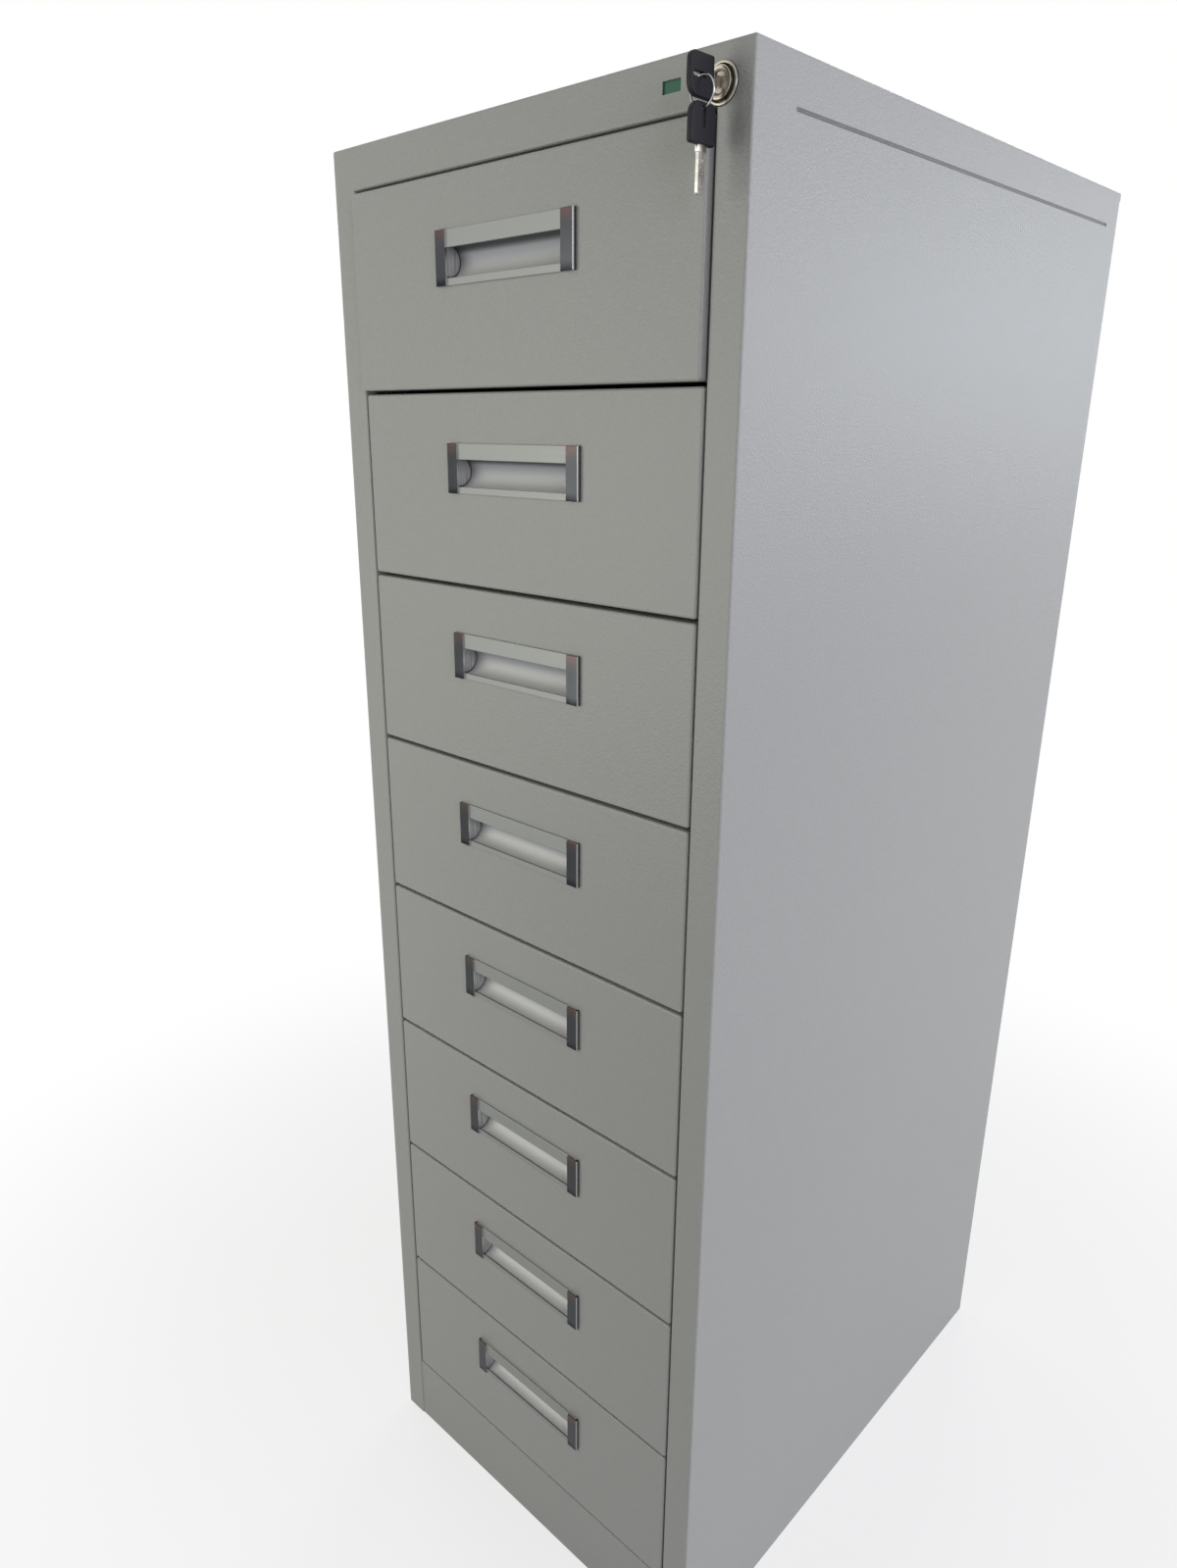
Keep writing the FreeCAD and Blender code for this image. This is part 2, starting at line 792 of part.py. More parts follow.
def flag_place():
    """The flag's x range, z range and y range behind the window."""
    x0 = half_width - window_from_side - window_width / 2 - flag_end_margin
    x1 = x0 + window_width + 2 * flag_end_margin + bar_travel
    z = cabinet_height - window_from_top
    half = window_height / 2 + flag_margin
    y0 = front + case_sheet + flag_gap
    return x0, x1, z - half, z + half, y0, y0 + flag_sheet


def status_flag():
    """The two-coloured plate behind the window, with the arm that the cam's pin moves."""
    x0, x1, z0, z1, y0, y1 = flag_place()
    middle = (z0 + z1) / 2
    arm_low = middle - flag_arm_height / 2
    arm_high = middle + flag_arm_height / 2
    near, far = slot_reach()
    pin_x = lock_x + near
    half = cam_pin / 2 + cam_play
    slot_low = lock_z + near - half
    slot_high = lock_z + far + half
    edge = flag_arm_edge
    head = box(pin_x - half - edge, pin_x + half + edge, flag_arm_front, flag_arm_rear,
               min(arm_low, slot_low - edge), slot_high + edge)
    flag = fuse([
        box(x0, x1, y0, y1, z0, z1),
        box(x1 - flag_sheet, x1, y0, flag_arm_rear, arm_low, arm_high),
        box(x1 - flag_sheet, pin_x, flag_arm_front, flag_arm_rear, arm_low, arm_high),
        head,
    ])
    return flag.cut(box(pin_x - half, pin_x + half, flag_arm_front, flag_arm_rear, slot_low, slot_high))


def flag_runners():
    """The two strips behind the rail that the flag slides in."""
    x0, x1, z0, z1, _, y1 = flag_place()
    y_rail = front + case_sheet
    lip_front = y1 + flag_gap
    lip_rear = lip_front + runner_wall
    left = x0 - bar_travel
    runners = []
    for edge, out in ((z1, 1), (z0, -1)):
        seat = edge + out * flag_gap
        runners.append(fuse([
            box(left, x1, y_rail, lip_rear, seat, seat + out * runner_wall),
            box(left, x1, lip_front, lip_rear, edge - out * runner_lap, seat + out * runner_wall),
        ]))
    return runners


# The keys


def key():
    """A key with its blade along +Y, its width along Z and the head's near end at the origin."""
    half_t = key_head_thickness / 2
    half_w = key_head_width / 2
    head = box(-half_t, half_t, -key_head_length, 0, -half_w, half_w)
    for y, radius in ((-key_head_length, key_far_corner), (0, key_near_corner)):
        for z in (-half_w, half_w):
            head = head.makeFillet(radius, edges_at(head, y=y, z=z))
    rim = edges_at(head, x=half_t) + edges_at(head, x=-half_t)
    head = head.makeFillet(key_head_edge, rim)
    radius = key_slot_width / 2
    slot_far = key_slot_edge - key_head_length + radius
    slot_near = slot_far + key_slot_length - key_slot_width
    slot = fuse([
        box(-half_t, half_t, slot_far, slot_near, -radius, radius),
        Part.makeCylinder(radius, 2 * half_t, vec(-half_t, slot_far, 0), vec(1, 0, 0)),
        Part.makeCylinder(radius, 2 * half_t, vec(-half_t, slot_near, 0), vec(1, 0, 0)),
    ])
    blade_t = key_blade_thickness / 2
    blade_w = key_blade_width / 2
    shoulder_w = key_shoulder_width / 2
    blade = box(-blade_t, blade_t, 0, key_blade_length, -blade_w, blade_w)
    for z in (-blade_w, blade_w):
        blade = blade.makeFillet(key_tip_corner, edges_at(blade, y=key_blade_length, z=z))
    shoulder = box(-blade_t, blade_t, 0, key_shoulder_length, -shoulder_w, shoulder_w)
    return [head.cut(slot), fuse([blade, shoulder])]


def key_in_lock():
    """The key in the lock, with its head in front of the rail."""
    return [moved(solid, lock_x, front - key_proud, lock_z) for solid in key()]


def spare_key():
    """The second key, hanging from the ring with its blade down."""
    slot_top = ring_z - ring_radius + ring_wire / 2 + spare_play
    z = slot_top + key_slot_edge - key_head_length
    solids = []
    for solid in key():
        turned = solid.copy()
        turned.rotate(vec(0, 0, 0), vec(1, 0, 0), -90)
        solids.append(moved(turned, ring_x, ring_y, z))
    return solids


def key_ring():
    """The wire ring through both keys."""
    return Part.makeTorus(ring_radius, ring_wire / 2, vec(ring_x, ring_y, ring_z), vec(0, 1, 0))


def save(node, shapes):
    """Write one node; a list is kept as a group of separate solids."""
    shape = Part.makeCompound(shapes) if isinstance(shapes, list) else shapes
    shape.exportStep(os.path.join("parts", node + ".step"))


def main():
    """Build every node of the cabinet."""
    os.makedirs("parts", exist_ok=True)
    numbers = range(1, drawer_count + 1)
    guide_numbers = (2, (drawer_count + 1) // 2, drawer_count)
    right_side = side_panel()
    save("right_side_panel", right_side)
    save("left_side_panel", mirror_x(right_side))
    save("top_panel", top_panel())
    save("back_panel", back_panel())
    save("bottom_panel", deck())
    save("kick_plate", kick_plate())
    save("base_frame", base_frame())
    save("slide_posts", slide_posts())
    save("back_screws", back_screws())
    save("outer_slides", [piece for n in numbers for piece in both_sides(lambda: outer_slide(n))])
    save("lock_housing", lock_housing())
    save("lock_nut", lock_nut())
    save("lock_plug", lock_plug())
    save("lock_cam", lock_cam())
    save("lock_bar", lock_bar())
    save("lock_guides", [bar_guide(n) for n in guide_numbers] + flag_runners())
    save("status_flag", status_flag())
    save("key_in_lock", key_in_lock())
    save("key_ring", key_ring())
    save("spare_key", spare_key())
    for n in numbers:
        out = -top_drawer_ajar if n == 1 else 0.0
        name = "drawer_%d_" % n
        save(name + "front", moved(drawer_front(n), y=out))
        save(name + "grip", moved(grip(n), y=out))
        caps = both_sides(lambda: grip_cap(n))
        save(name + "grip_caps", [moved(cap, y=out) for cap in caps])
        carried = tray(n) + [divider(n)] + both_sides(lambda: inner_slide(n))
        save(name + "tray", [moved(piece, y=out) for piece in carried])
        middle = both_sides(lambda: middle_slide(n))
        for strip in ball_retainers(n):
            middle += [strip, mirror_x(strip)]
        save(name + "middle_slides", [moved(piece, y=out / 2) for piece in middle])


main()
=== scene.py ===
"""Finishes, small fittings, floor, light and camera for the eight-drawer film and card cabinet.

Everything is in metres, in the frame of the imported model: the origin is the centre of the
case's footprint, +X is the user's right, +Y runs from the drawer fronts to the back.
"""
from __future__ import annotations

import logging
import math
from collections.abc import Iterable, Sequence
from dataclasses import dataclass, field
from enum import Enum

import bmesh
import bpy
from mathutils import Matrix, Vector

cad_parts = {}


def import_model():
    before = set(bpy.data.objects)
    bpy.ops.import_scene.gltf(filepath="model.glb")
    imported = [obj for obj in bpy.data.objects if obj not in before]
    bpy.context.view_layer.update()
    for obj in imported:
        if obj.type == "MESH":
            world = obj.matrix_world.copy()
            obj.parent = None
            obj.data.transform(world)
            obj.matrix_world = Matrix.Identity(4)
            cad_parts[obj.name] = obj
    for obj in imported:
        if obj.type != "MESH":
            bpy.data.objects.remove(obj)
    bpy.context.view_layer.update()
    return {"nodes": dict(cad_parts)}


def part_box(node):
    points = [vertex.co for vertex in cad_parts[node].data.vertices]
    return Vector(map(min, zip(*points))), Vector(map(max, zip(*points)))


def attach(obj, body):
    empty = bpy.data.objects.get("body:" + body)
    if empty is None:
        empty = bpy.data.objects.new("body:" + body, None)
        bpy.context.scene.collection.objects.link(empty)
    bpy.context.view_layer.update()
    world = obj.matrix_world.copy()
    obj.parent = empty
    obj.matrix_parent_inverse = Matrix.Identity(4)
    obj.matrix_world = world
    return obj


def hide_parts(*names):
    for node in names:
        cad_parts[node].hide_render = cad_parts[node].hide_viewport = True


MM = 0.001
DRAWERS = 8
# The pulls' trough, measured from the middle of the pull
TROUGH_MIDDLE = -2.35 * MM
TROUGH_RADIUS = 12.5 * MM
# Vertices closer than this become one
MERGE_DISTANCE = 1e-7
# An edge whose ends differ by less than this along X lies square to it
LEVEL = 1e-6
log = logging.getLogger("cabinet")

Colour = tuple[float, float, float]
Value = "Wire | float | Sequence[float]"


class Axis(Enum):
    """A direction of the cabinet, by its place in a vector."""

    ACROSS = 0
    DEEP = 1
    UP = 2


# Shader maths


@dataclass(frozen=True)
class Wire:
    """One output of a node. Arithmetic on it adds Math nodes."""

    web: "Web"
    socket: bpy.types.NodeSocket

    def _sum(self, operation: str, *values: Value) -> "Wire":
        """One Math node on the given values."""
        return self.web.node(
            "ShaderNodeMath", {"operation": operation}, dict(enumerate(values))
        )

    def __add__(self, other: Value) -> "Wire":
        """This plus the other."""
        return self._sum("ADD", self, other)

    def __radd__(self, other: Value) -> "Wire":
        """The other plus this."""
        return self._sum("ADD", other, self)

    def __sub__(self, other: Value) -> "Wire":
        """This less the other."""
        return self._sum("SUBTRACT", self, other)

    def __rsub__(self, other: Value) -> "Wire":
        """The other less this."""
        return self._sum("SUBTRACT", other, self)

    def __mul__(self, other: Value) -> "Wire":
        """This times the other."""
        return self._sum("MULTIPLY", self, other)

    def __rmul__(self, other: Value) -> "Wire":
        """The other times this."""
        return self._sum("MULTIPLY", other, self)

    def __mod__(self, other: Value) -> "Wire":
        """What is left after whole steps of the other, never below 0."""
        return self._sum("FLOORED_MODULO", self, other)

    def __gt__(self, other: Value) -> "Wire":
        """1 where this is more than the other, or 0."""
        return self._sum("GREATER_THAN", self, other)

    def __lt__(self, other: Value) -> "Wire":
        """1 where this is less than the other, or 0."""
        return self._sum("LESS_THAN", self, other)

    def __abs__(self) -> "Wire":
        """This without its sign."""
        return self._sum("ABSOLUTE", self)

    def rise(self, low: float, high: float) -> "Wire":
        """A smooth step.

        Args:
            low: Where the step starts, at 0.
            high: Where the step ends, at 1.

        Returns:
            The step's height.
        """
        return self.web.node(
            "ShaderNodeMapRange",
            {"interpolation_type": "SMOOTHSTEP"},
            {"Value": self, "From Min": low, "From Max": high},
        )


class Web:
    """The nodes of one material."""

    def __init__(self, name: str) -> None:
        """Starts a material with an output and nothing else."""
        self.material = bpy.data.materials.new(name)
        self.material.use_nodes = True
        self.tree = self.material.node_tree
        self.tree.nodes.clear()
        self.place = self.node("ShaderNodeTexCoord", output="Object")
        self.facing = self.node("ShaderNodeTexCoord", output="Normal")

    def node(
        self,
        kind: str,
        settings: dict[str, object] | None = None,
        sockets: dict[str | int, Value] | None = None,
        output: str | int = 0,
    ) -> Wire:
        """Adds one node.

        Args:
            kind: The node's type.
            settings: Its properties, set first; "stops" gives a ramp's places and colours.
            sockets: The value or link of each named or numbered input.
            output: The output that is wanted.

        Returns:
            That output.
        """
        made = self.tree.nodes.new(kind)
        for name, setting in (settings or {}).items():
            if name == "stops":
                self._set_stops(made.color_ramp, setting)
            else:
                setattr(made, name, setting)
        for key, value in (sockets or {}).items():
            socket = made.inputs[key]
            if isinstance(value, Wire):
                self.tree.links.new(value.socket, socket)
            elif isinstance(value, (int, float)) or len(value) == len(socket.default_value):
                socket.default_value = value
            else:
                socket.default_value = (*value, 1.0)
        return Wire(self, made.outputs[output])

    @staticmethod
    def _set_stops(ramp: bpy.types.ColorRamp, stops: Sequence[tuple[float, Colour]]) -> None:
        """Gives a ramp its stops."""
        while len(ramp.elements) < len(stops):
            ramp.elements.new(0.5)
        for element, (place, colour) in zip(ramp.elements, stops):
            element.position = place
            element.color = (*colour, 1.0)

    def axis(self, axis: Axis) -> Wire:
        """The place along one axis, in metres."""
        return self.node("ShaderNodeSeparateXYZ", sockets={0: self.place}, output=axis.value)

    def above_middle(self, first_middle: float, pitch: float) -> Wire:
        """The height above the nearest of the middles that repeat with every drawer."""
        return (self.axis(Axis.UP) - (first_middle - pitch / 2)) % pitch - pitch / 2

    def stretched(self, repeats: Sequence[float]) -> Wire:
        """The place, multiplied by so many repeats a metre along each axis."""
        return self.node(
            "ShaderNodeVectorMath", {"operation": "MULTIPLY"}, {0: self.place, 1: repeats}
        )

    def noise(
        self, repeats: float | Sequence[float], detail: float = 2.0, rough: float = 0.5
    ) -> Wire:
        """Soft noise.

        Args:
            repeats: How many lumps a metre, the same all ways or along each axis.
            detail: How many finer layers lie on it.
            rough: How strong the finer layers are.

        Returns:
            A value about 0.5.
        """
        even = isinstance(repeats, (int, float))
        return self.node(
            "ShaderNodeTexNoise",
            sockets={
                "Vector": self.place if even else self.stretched(repeats),
                "Scale": repeats if even else 1.0,
                "Detail": detail,
                "Roughness": rough,
            },
        )

    def shown(self) -> Wire:
        """1 for what the camera sees itself or in gloss or glass, and 0 for light on the object."""
        rays = [
            self.node("ShaderNodeLightPath", output=name)
            for name in ("Is Camera Ray", "Is Glossy Ray", "Is Transmission Ray")
        ]
        return self.node(
            "ShaderNodeMath",
            {"operation": "ADD", "use_clamp": True},
            {0: rays[0] + rays[1], 1: rays[2]},
        )

    def blend(self, first: Value, second: Value, share: Wire) -> Wire:
        """The first colour, turning into the second where share is 1."""
        made = self.tree.nodes.new("ShaderNodeMix")
        made.data_type = "RGBA"
        for index, value in ((0, share), (6, first), (7, second)):
            if isinstance(value, Wire):
                self.tree.links.new(value.socket, made.inputs[index])
            else:
                made.inputs[index].default_value = (*value, 1.0)
        return Wire(self, made.outputs[2])

    def bump(self, height: Wire, depth: float, strength: float = 1.0) -> Wire:
        """The surface's direction, with a relief of that depth in metres."""
        return self.node(
            "ShaderNodeBump", sockets={"Height": height, "Distance": depth, "Strength": strength}
        )

    def surface(self, **sockets: Value) -> bpy.types.Material:
        """Ends the material with the main shader.

        Args:
            **sockets: The shader's inputs, with _ for each space.

        Returns:
            The finished material.
        """
        named = {name.replace("_", " "): value for name, value in sockets.items()}
        shader = self.node("ShaderNodeBsdfPrincipled", sockets=named)
        self.node_out(shader)
        return self.material

    def node_out(self, shader: Wire) -> None:
        """Joins a shader to the material's output."""
        out = self.tree.nodes.new("ShaderNodeOutputMaterial")
        self.tree.links.new(shader.socket, out.inputs["Surface"])


# Finishes


@dataclass(frozen=True)
class PowderCoat:
    """Grey powder coat with the dimples of an orange's peel."""

    name: str
    tone: Colour
    dimples: float = 560.0
    relief: float = 0.00014
    roughness: float = 0.38

    def coat(self, web: Web) -> dict[str, Wire]:
        """The inputs that vary over the coat."""
        drift = web.noise(3.0, detail=3.0)
        peel = web.noise(self.dimples, detail=2.0, rough=0.45)
        grain = web.noise(self.dimples * 4.0, detail=1.0)
        pale = tuple(min(1.0, part * 1.06) for part in self.tone)
        deep = tuple(part * 0.93 for part in self.tone)
        speckled = drift * 0.45 + peel.rise(0.3, 0.7) * 0.35 + grain * 0.2
        return {
            "Base_Color": web.blend(deep, pale, speckled),
            "Roughness": self.roughness - 0.05 + 0.1 * peel,
            "Normal": web.bump(peel.rise(0.25, 0.75) + 0.05 * grain, self.relief),
        }

    def make(self) -> bpy.types.Material:
        """The finished material."""
        web = Web(self.name)
        return web.surface(**self.coat(web))


@dataclass(frozen=True)
class GrooveShadedCoat(PowderCoat):
    """Powder coat with painted shade where it dips into the line pressed along a side."""

    side_face: float = 218.0 * MM
    line_height: float = 1352.4 * MM
    line_half: float = 1.5 * MM
    line_end: float = 285.0 * MM
    sheet: float = 0.95 * MM
    # painted shade: the darker tone laid into the pressed line
    shade: Colour = (0.13, 0.135, 0.135)

    def coat(self, web: Web) -> dict[str, Wire]:
        """The inputs that vary over the coat."""
        plain = super().coat(web)
        dip = self.side_face - abs(web.axis(Axis.ACROSS))
        on_line = (abs(web.axis(Axis.UP) - self.line_height) < self.line_half) * (
            abs(web.axis(Axis.DEEP)) < self.line_end
        )
        # share of painted shade, on the pressed line's floor only
        share = dip.rise(0.15 * MM, 0.6 * MM) * (dip < self.sheet) * on_line
        return plain | {"Base_Color": web.blend(plain["Base_Color"], self.shade, share)}


@dataclass(frozen=True)
class DrawnMetal:
    """Metal with fine lines along one axis, as an extrusion or a cold-drawn strip has."""

    name: str
    tone: Colour
    along: Axis
    roughness: float = 0.3
    lines: float = 2600.0
    relief: float = 0.000008

    def coat(self, web: Web) -> dict[str, Wire]:
        """The inputs that vary over the metal."""
        repeats = [self.lines] * 3
        repeats[self.along.value] = 9.0
        streak = web.noise(repeats, detail=2.0)
        cloud = web.noise(34.0, detail=3.0)
        dull = tuple(part * 0.86 for part in self.tone)
        return {
            "Base_Color": web.blend(dull, self.tone, streak * 0.7 + cloud * 0.3),
            "Roughness": self.roughness - 0.07 + 0.09 * streak + 0.05 * cloud,
            "Normal": web.bump(streak, self.relief),
        }

    def make(self) -> bpy.types.Material:
        """The finished material."""
        web = Web(self.name)
        return web.surface(**self.coat(web), Metallic=1.0)


@dataclass(frozen=True)
class PlatedMetal:
    """Polished plate with faint clouding and handling marks."""

    name: str
    tone: Colour
    dull: Colour
    roughness: float = 0.16
    clouds: float = 160.0

    def make(self) -> bpy.types.Material:
        """The finished material."""
        web = Web(self.name)
        cloud = web.noise(self.clouds, detail=4.0)
        fine = web.noise(2400.0)
        return web.surface(
            Base_Color=web.blend(self.dull, self.tone, cloud.rise(0.35, 0.62)),
            Roughness=self.roughness - 0.03 + 0.1 * cloud,
            Normal=web.bump(fine, 0.000003),
            Metallic=1.0,
        )


@dataclass(frozen=True)
class TurnedNickel:
    """Nickel on the lock's turned face, with painted shade in its groove and seam and at its outer
    edge, and fine turning lines.
    """

    name: str
    centre: tuple[float, float]
    reach: float
    rings: tuple[tuple[float, Colour], ...]
    roughness: float = 0.22

    def make(self) -> bpy.types.Material:
        """The finished material."""
        web = Web(self.name)
        across = web.axis(Axis.ACROSS) - self.centre[0]
        up = web.axis(Axis.UP) - self.centre[1]
        radius = web.node(
            "ShaderNodeMath", {"operation": "SQRT"}, {0: across * across + up * up}
        ) * (1 / self.reach)
        stops = [(place / self.reach, colour) for place, colour in self.rings]
        ringed = web.node("ShaderNodeValToRGB", {"stops": stops}, {0: radius})
        cloud = web.noise(160.0, detail=4.0)
        worn = tuple(part * 0.62 for part in self.rings[1][1])
        return web.surface(
            Base_Color=web.blend(ringed, worn, 0.45 * cloud.rise(0.45, 0.7)),
            Roughness=self.roughness - 0.03 + 0.12 * cloud,
            Normal=web.bump(web.noise(2400.0), 0.000003),
            Metallic=1.0,
        )


@dataclass(frozen=True)
class PullAluminium:
    """Satin aluminium: drawn flat lips, and a frosted trough with painted light at its bottom, painted
    shade towards its top and a painted shadow under the upper lip.
    """

    name: str
    lips: Colour
    trough_lit_bottom: Colour
    trough_shaded_top: Colour
    painted_lip_shadow: Colour
    lip_plane: float
    first_middle: float
    pitch: float

    def make(self) -> bpy.types.Material:
        """The finished material."""
        web = Web(self.name)
        streak = web.noise((9.0, 2600.0, 2600.0), detail=2.0)
        frost = web.noise(1500.0, detail=2.0)
        inside = web.axis(Axis.DEEP) > self.lip_plane
        height = web.above_middle(self.first_middle, self.pitch) - TROUGH_MIDDLE
        level = height * (1 / TROUGH_RADIUS)
        # painted light and shade: the trough lighter at its bottom and darker towards its top
        trough = web.blend(self.trough_lit_bottom, self.trough_shaded_top, level.rise(-0.75, 0.35))
        # painted shadow under the upper lip
        trough = web.blend(trough, self.painted_lip_shadow, level.rise(0.36, 0.74))
        tone = web.blend(self.lips, trough, inside)
        shade = tuple(part * 0.88 for part in self.lips)
        return web.surface(
            Base_Color=web.blend(tone, shade, streak * 0.4 * (1 - inside) + frost * 0.15),
            Roughness=0.38 + 0.08 * streak + 0.2 * inside,
            Metallic=0.4 - 0.1 * inside,
            Normal=web.bump(streak * (1 - inside) + frost * inside, 0.00001),
        )


@dataclass(frozen=True)
class CapChrome:
    """Chrome of the pulls' end caps, with painted reflections: dark faces, a painted copper-toned
    reflection towards the top, painted shade towards the bottom, painted highlights on the proud sides
    and painted shade on the sides behind the lips.
    """

    name: str
    # painted reflection: the faces' dark tone stands for the reflection of a dark room
    face: Colour
    painted_side_highlight: Colour
    painted_warm_reflection: Colour
    first_middle: float
    pitch: float
    half_height: float
    lip_plane: float
    cheek_reach: float = 0.07
    lip_depth: float = 2.0 * MM

    def make(self) -> bpy.types.Material:
        """The finished material."""
        web = Web(self.name)
        height = web.above_middle(self.first_middle, self.pitch) * (1 / self.half_height)
        cloud = web.noise(90.0, detail=3.0)
        smear = web.noise((260.0, 260.0, 30.0), detail=2.0)
        high = (height + 0.3 * cloud).rise(0.55, 1.15)
        low = (0.3 * cloud - height).rise(0.75, 1.2)
        # painted copper-toned reflection towards the top of each face
        face = web.blend(self.face, self.painted_warm_reflection, high * 0.8)
        # painted shade towards the bottom of each face
        face = web.blend(face, (0.004, 0.004, 0.005), low * 0.85)
        sideways = web.node("ShaderNodeSeparateXYZ", sockets={0: web.facing}, output=0)
        # side faces, found by the direction they face
        side = abs(sideways).rise(0.35, 0.8)
        proud = web.axis(Axis.DEEP) < self.lip_plane
        outer = abs(web.axis(Axis.ACROSS)) > self.cheek_reach
        streak = web.noise((300.0, 900.0, 40.0), detail=2.0)
        cheek = web.blend((0.34, 0.34, 0.345), (0.62, 0.62, 0.62), streak.rise(0.35, 0.65))
        behind = (web.axis(Axis.DEEP) - self.lip_plane - self.lip_depth) * (1 / TROUGH_RADIUS)
        above = (height * self.half_height - TROUGH_MIDDLE) * (1 / TROUGH_RADIUS)
        rim = (behind * behind + above * above).rise(0.72, 0.84)
        cheek = web.blend(cheek, (0.05, 0.05, 0.055), rim * 0.85)
        # painted shade on the outer sides behind the lips, painted highlight on the proud sides
        flank = web.blend(web.blend(cheek, (0.14, 0.14, 0.145), outer), self.painted_side_highlight, proud)
        return web.surface(
            Base_Color=web.blend(face, flank, side),
            Roughness=0.1 + 0.1 * cloud + 0.06 * smear,
            Metallic=1 - 0.6 * side * (1 - proud) * (1 - outer),
        )


@dataclass(frozen=True)
class MouldedPlastic:
    """Plastic with the fine grain of a spark-eroded mould."""

    name: str
    tone: Colour
    roughness: float = 0.4
    grain: float = 3200.0
    relief: float = 0.00001
    gloss: float = 0.5

    def make(self) -> bpy.types.Material:
        """The finished material."""
        web = Web(self.name)
        grain = web.noise(self.grain, detail=2.0)
        cloud = web.noise(60.0, detail=2.0)
        rubbed = tuple(min(1.0, part * 1.25 + 0.001) for part in self.tone)
        return web.surface(
            Base_Color=web.blend(self.tone, rubbed, cloud),
            Roughness=self.roughness - 0.05 + 0.1 * grain,
            Specular_IOR_Level=self.gloss,
            Normal=web.bump(grain, self.relief),
        )


@dataclass(frozen=True)
class TrayFinish:
    """Powder coat on the tray and zinc plate on the slide members fixed to its sides."""

    name: str
    paint: PowderCoat
    zinc: DrawnMetal
    tray_half: float
    slide_middle: float
    slide_half: float
    pitch: float

    def make(self) -> bpy.types.Material:
        """The finished material."""
        web = Web(self.name)
        paint = self.paint.coat(web)
        zinc = self.zinc.coat(web)
        outside = abs(web.axis(Axis.ACROSS)) > self.tray_half
        level = abs(web.above_middle(self.slide_middle, self.pitch)) < self.slide_half
        metal = outside * level
        return web.surface(
            Base_Color=web.blend(paint["Base_Color"], zinc["Base_Color"], metal),
            Roughness=paint["Roughness"] * (1 - metal) + zinc["Roughness"] * metal,
            Metallic=metal,
            Normal=paint["Normal"],
        )


@dataclass(frozen=True)
class FlagStrip:
    """The flag's plastic: the end that shows while the lock is open, and the other end."""

    name: str
    open_tone: Colour
    locked_tone: Colour
    border: float

    def make(self) -> bpy.types.Material:
        """The finished material."""
        web = Web(self.name)
        locked = web.axis(Axis.ACROSS) > self.border
        grain = web.noise(1800.0)
        return web.surface(
            Base_Color=web.blend(self.open_tone, self.locked_tone, locked),
            Roughness=0.45 + 0.12 * grain,
            Normal=web.bump(grain, 0.000006),
        )


# Mesh tools


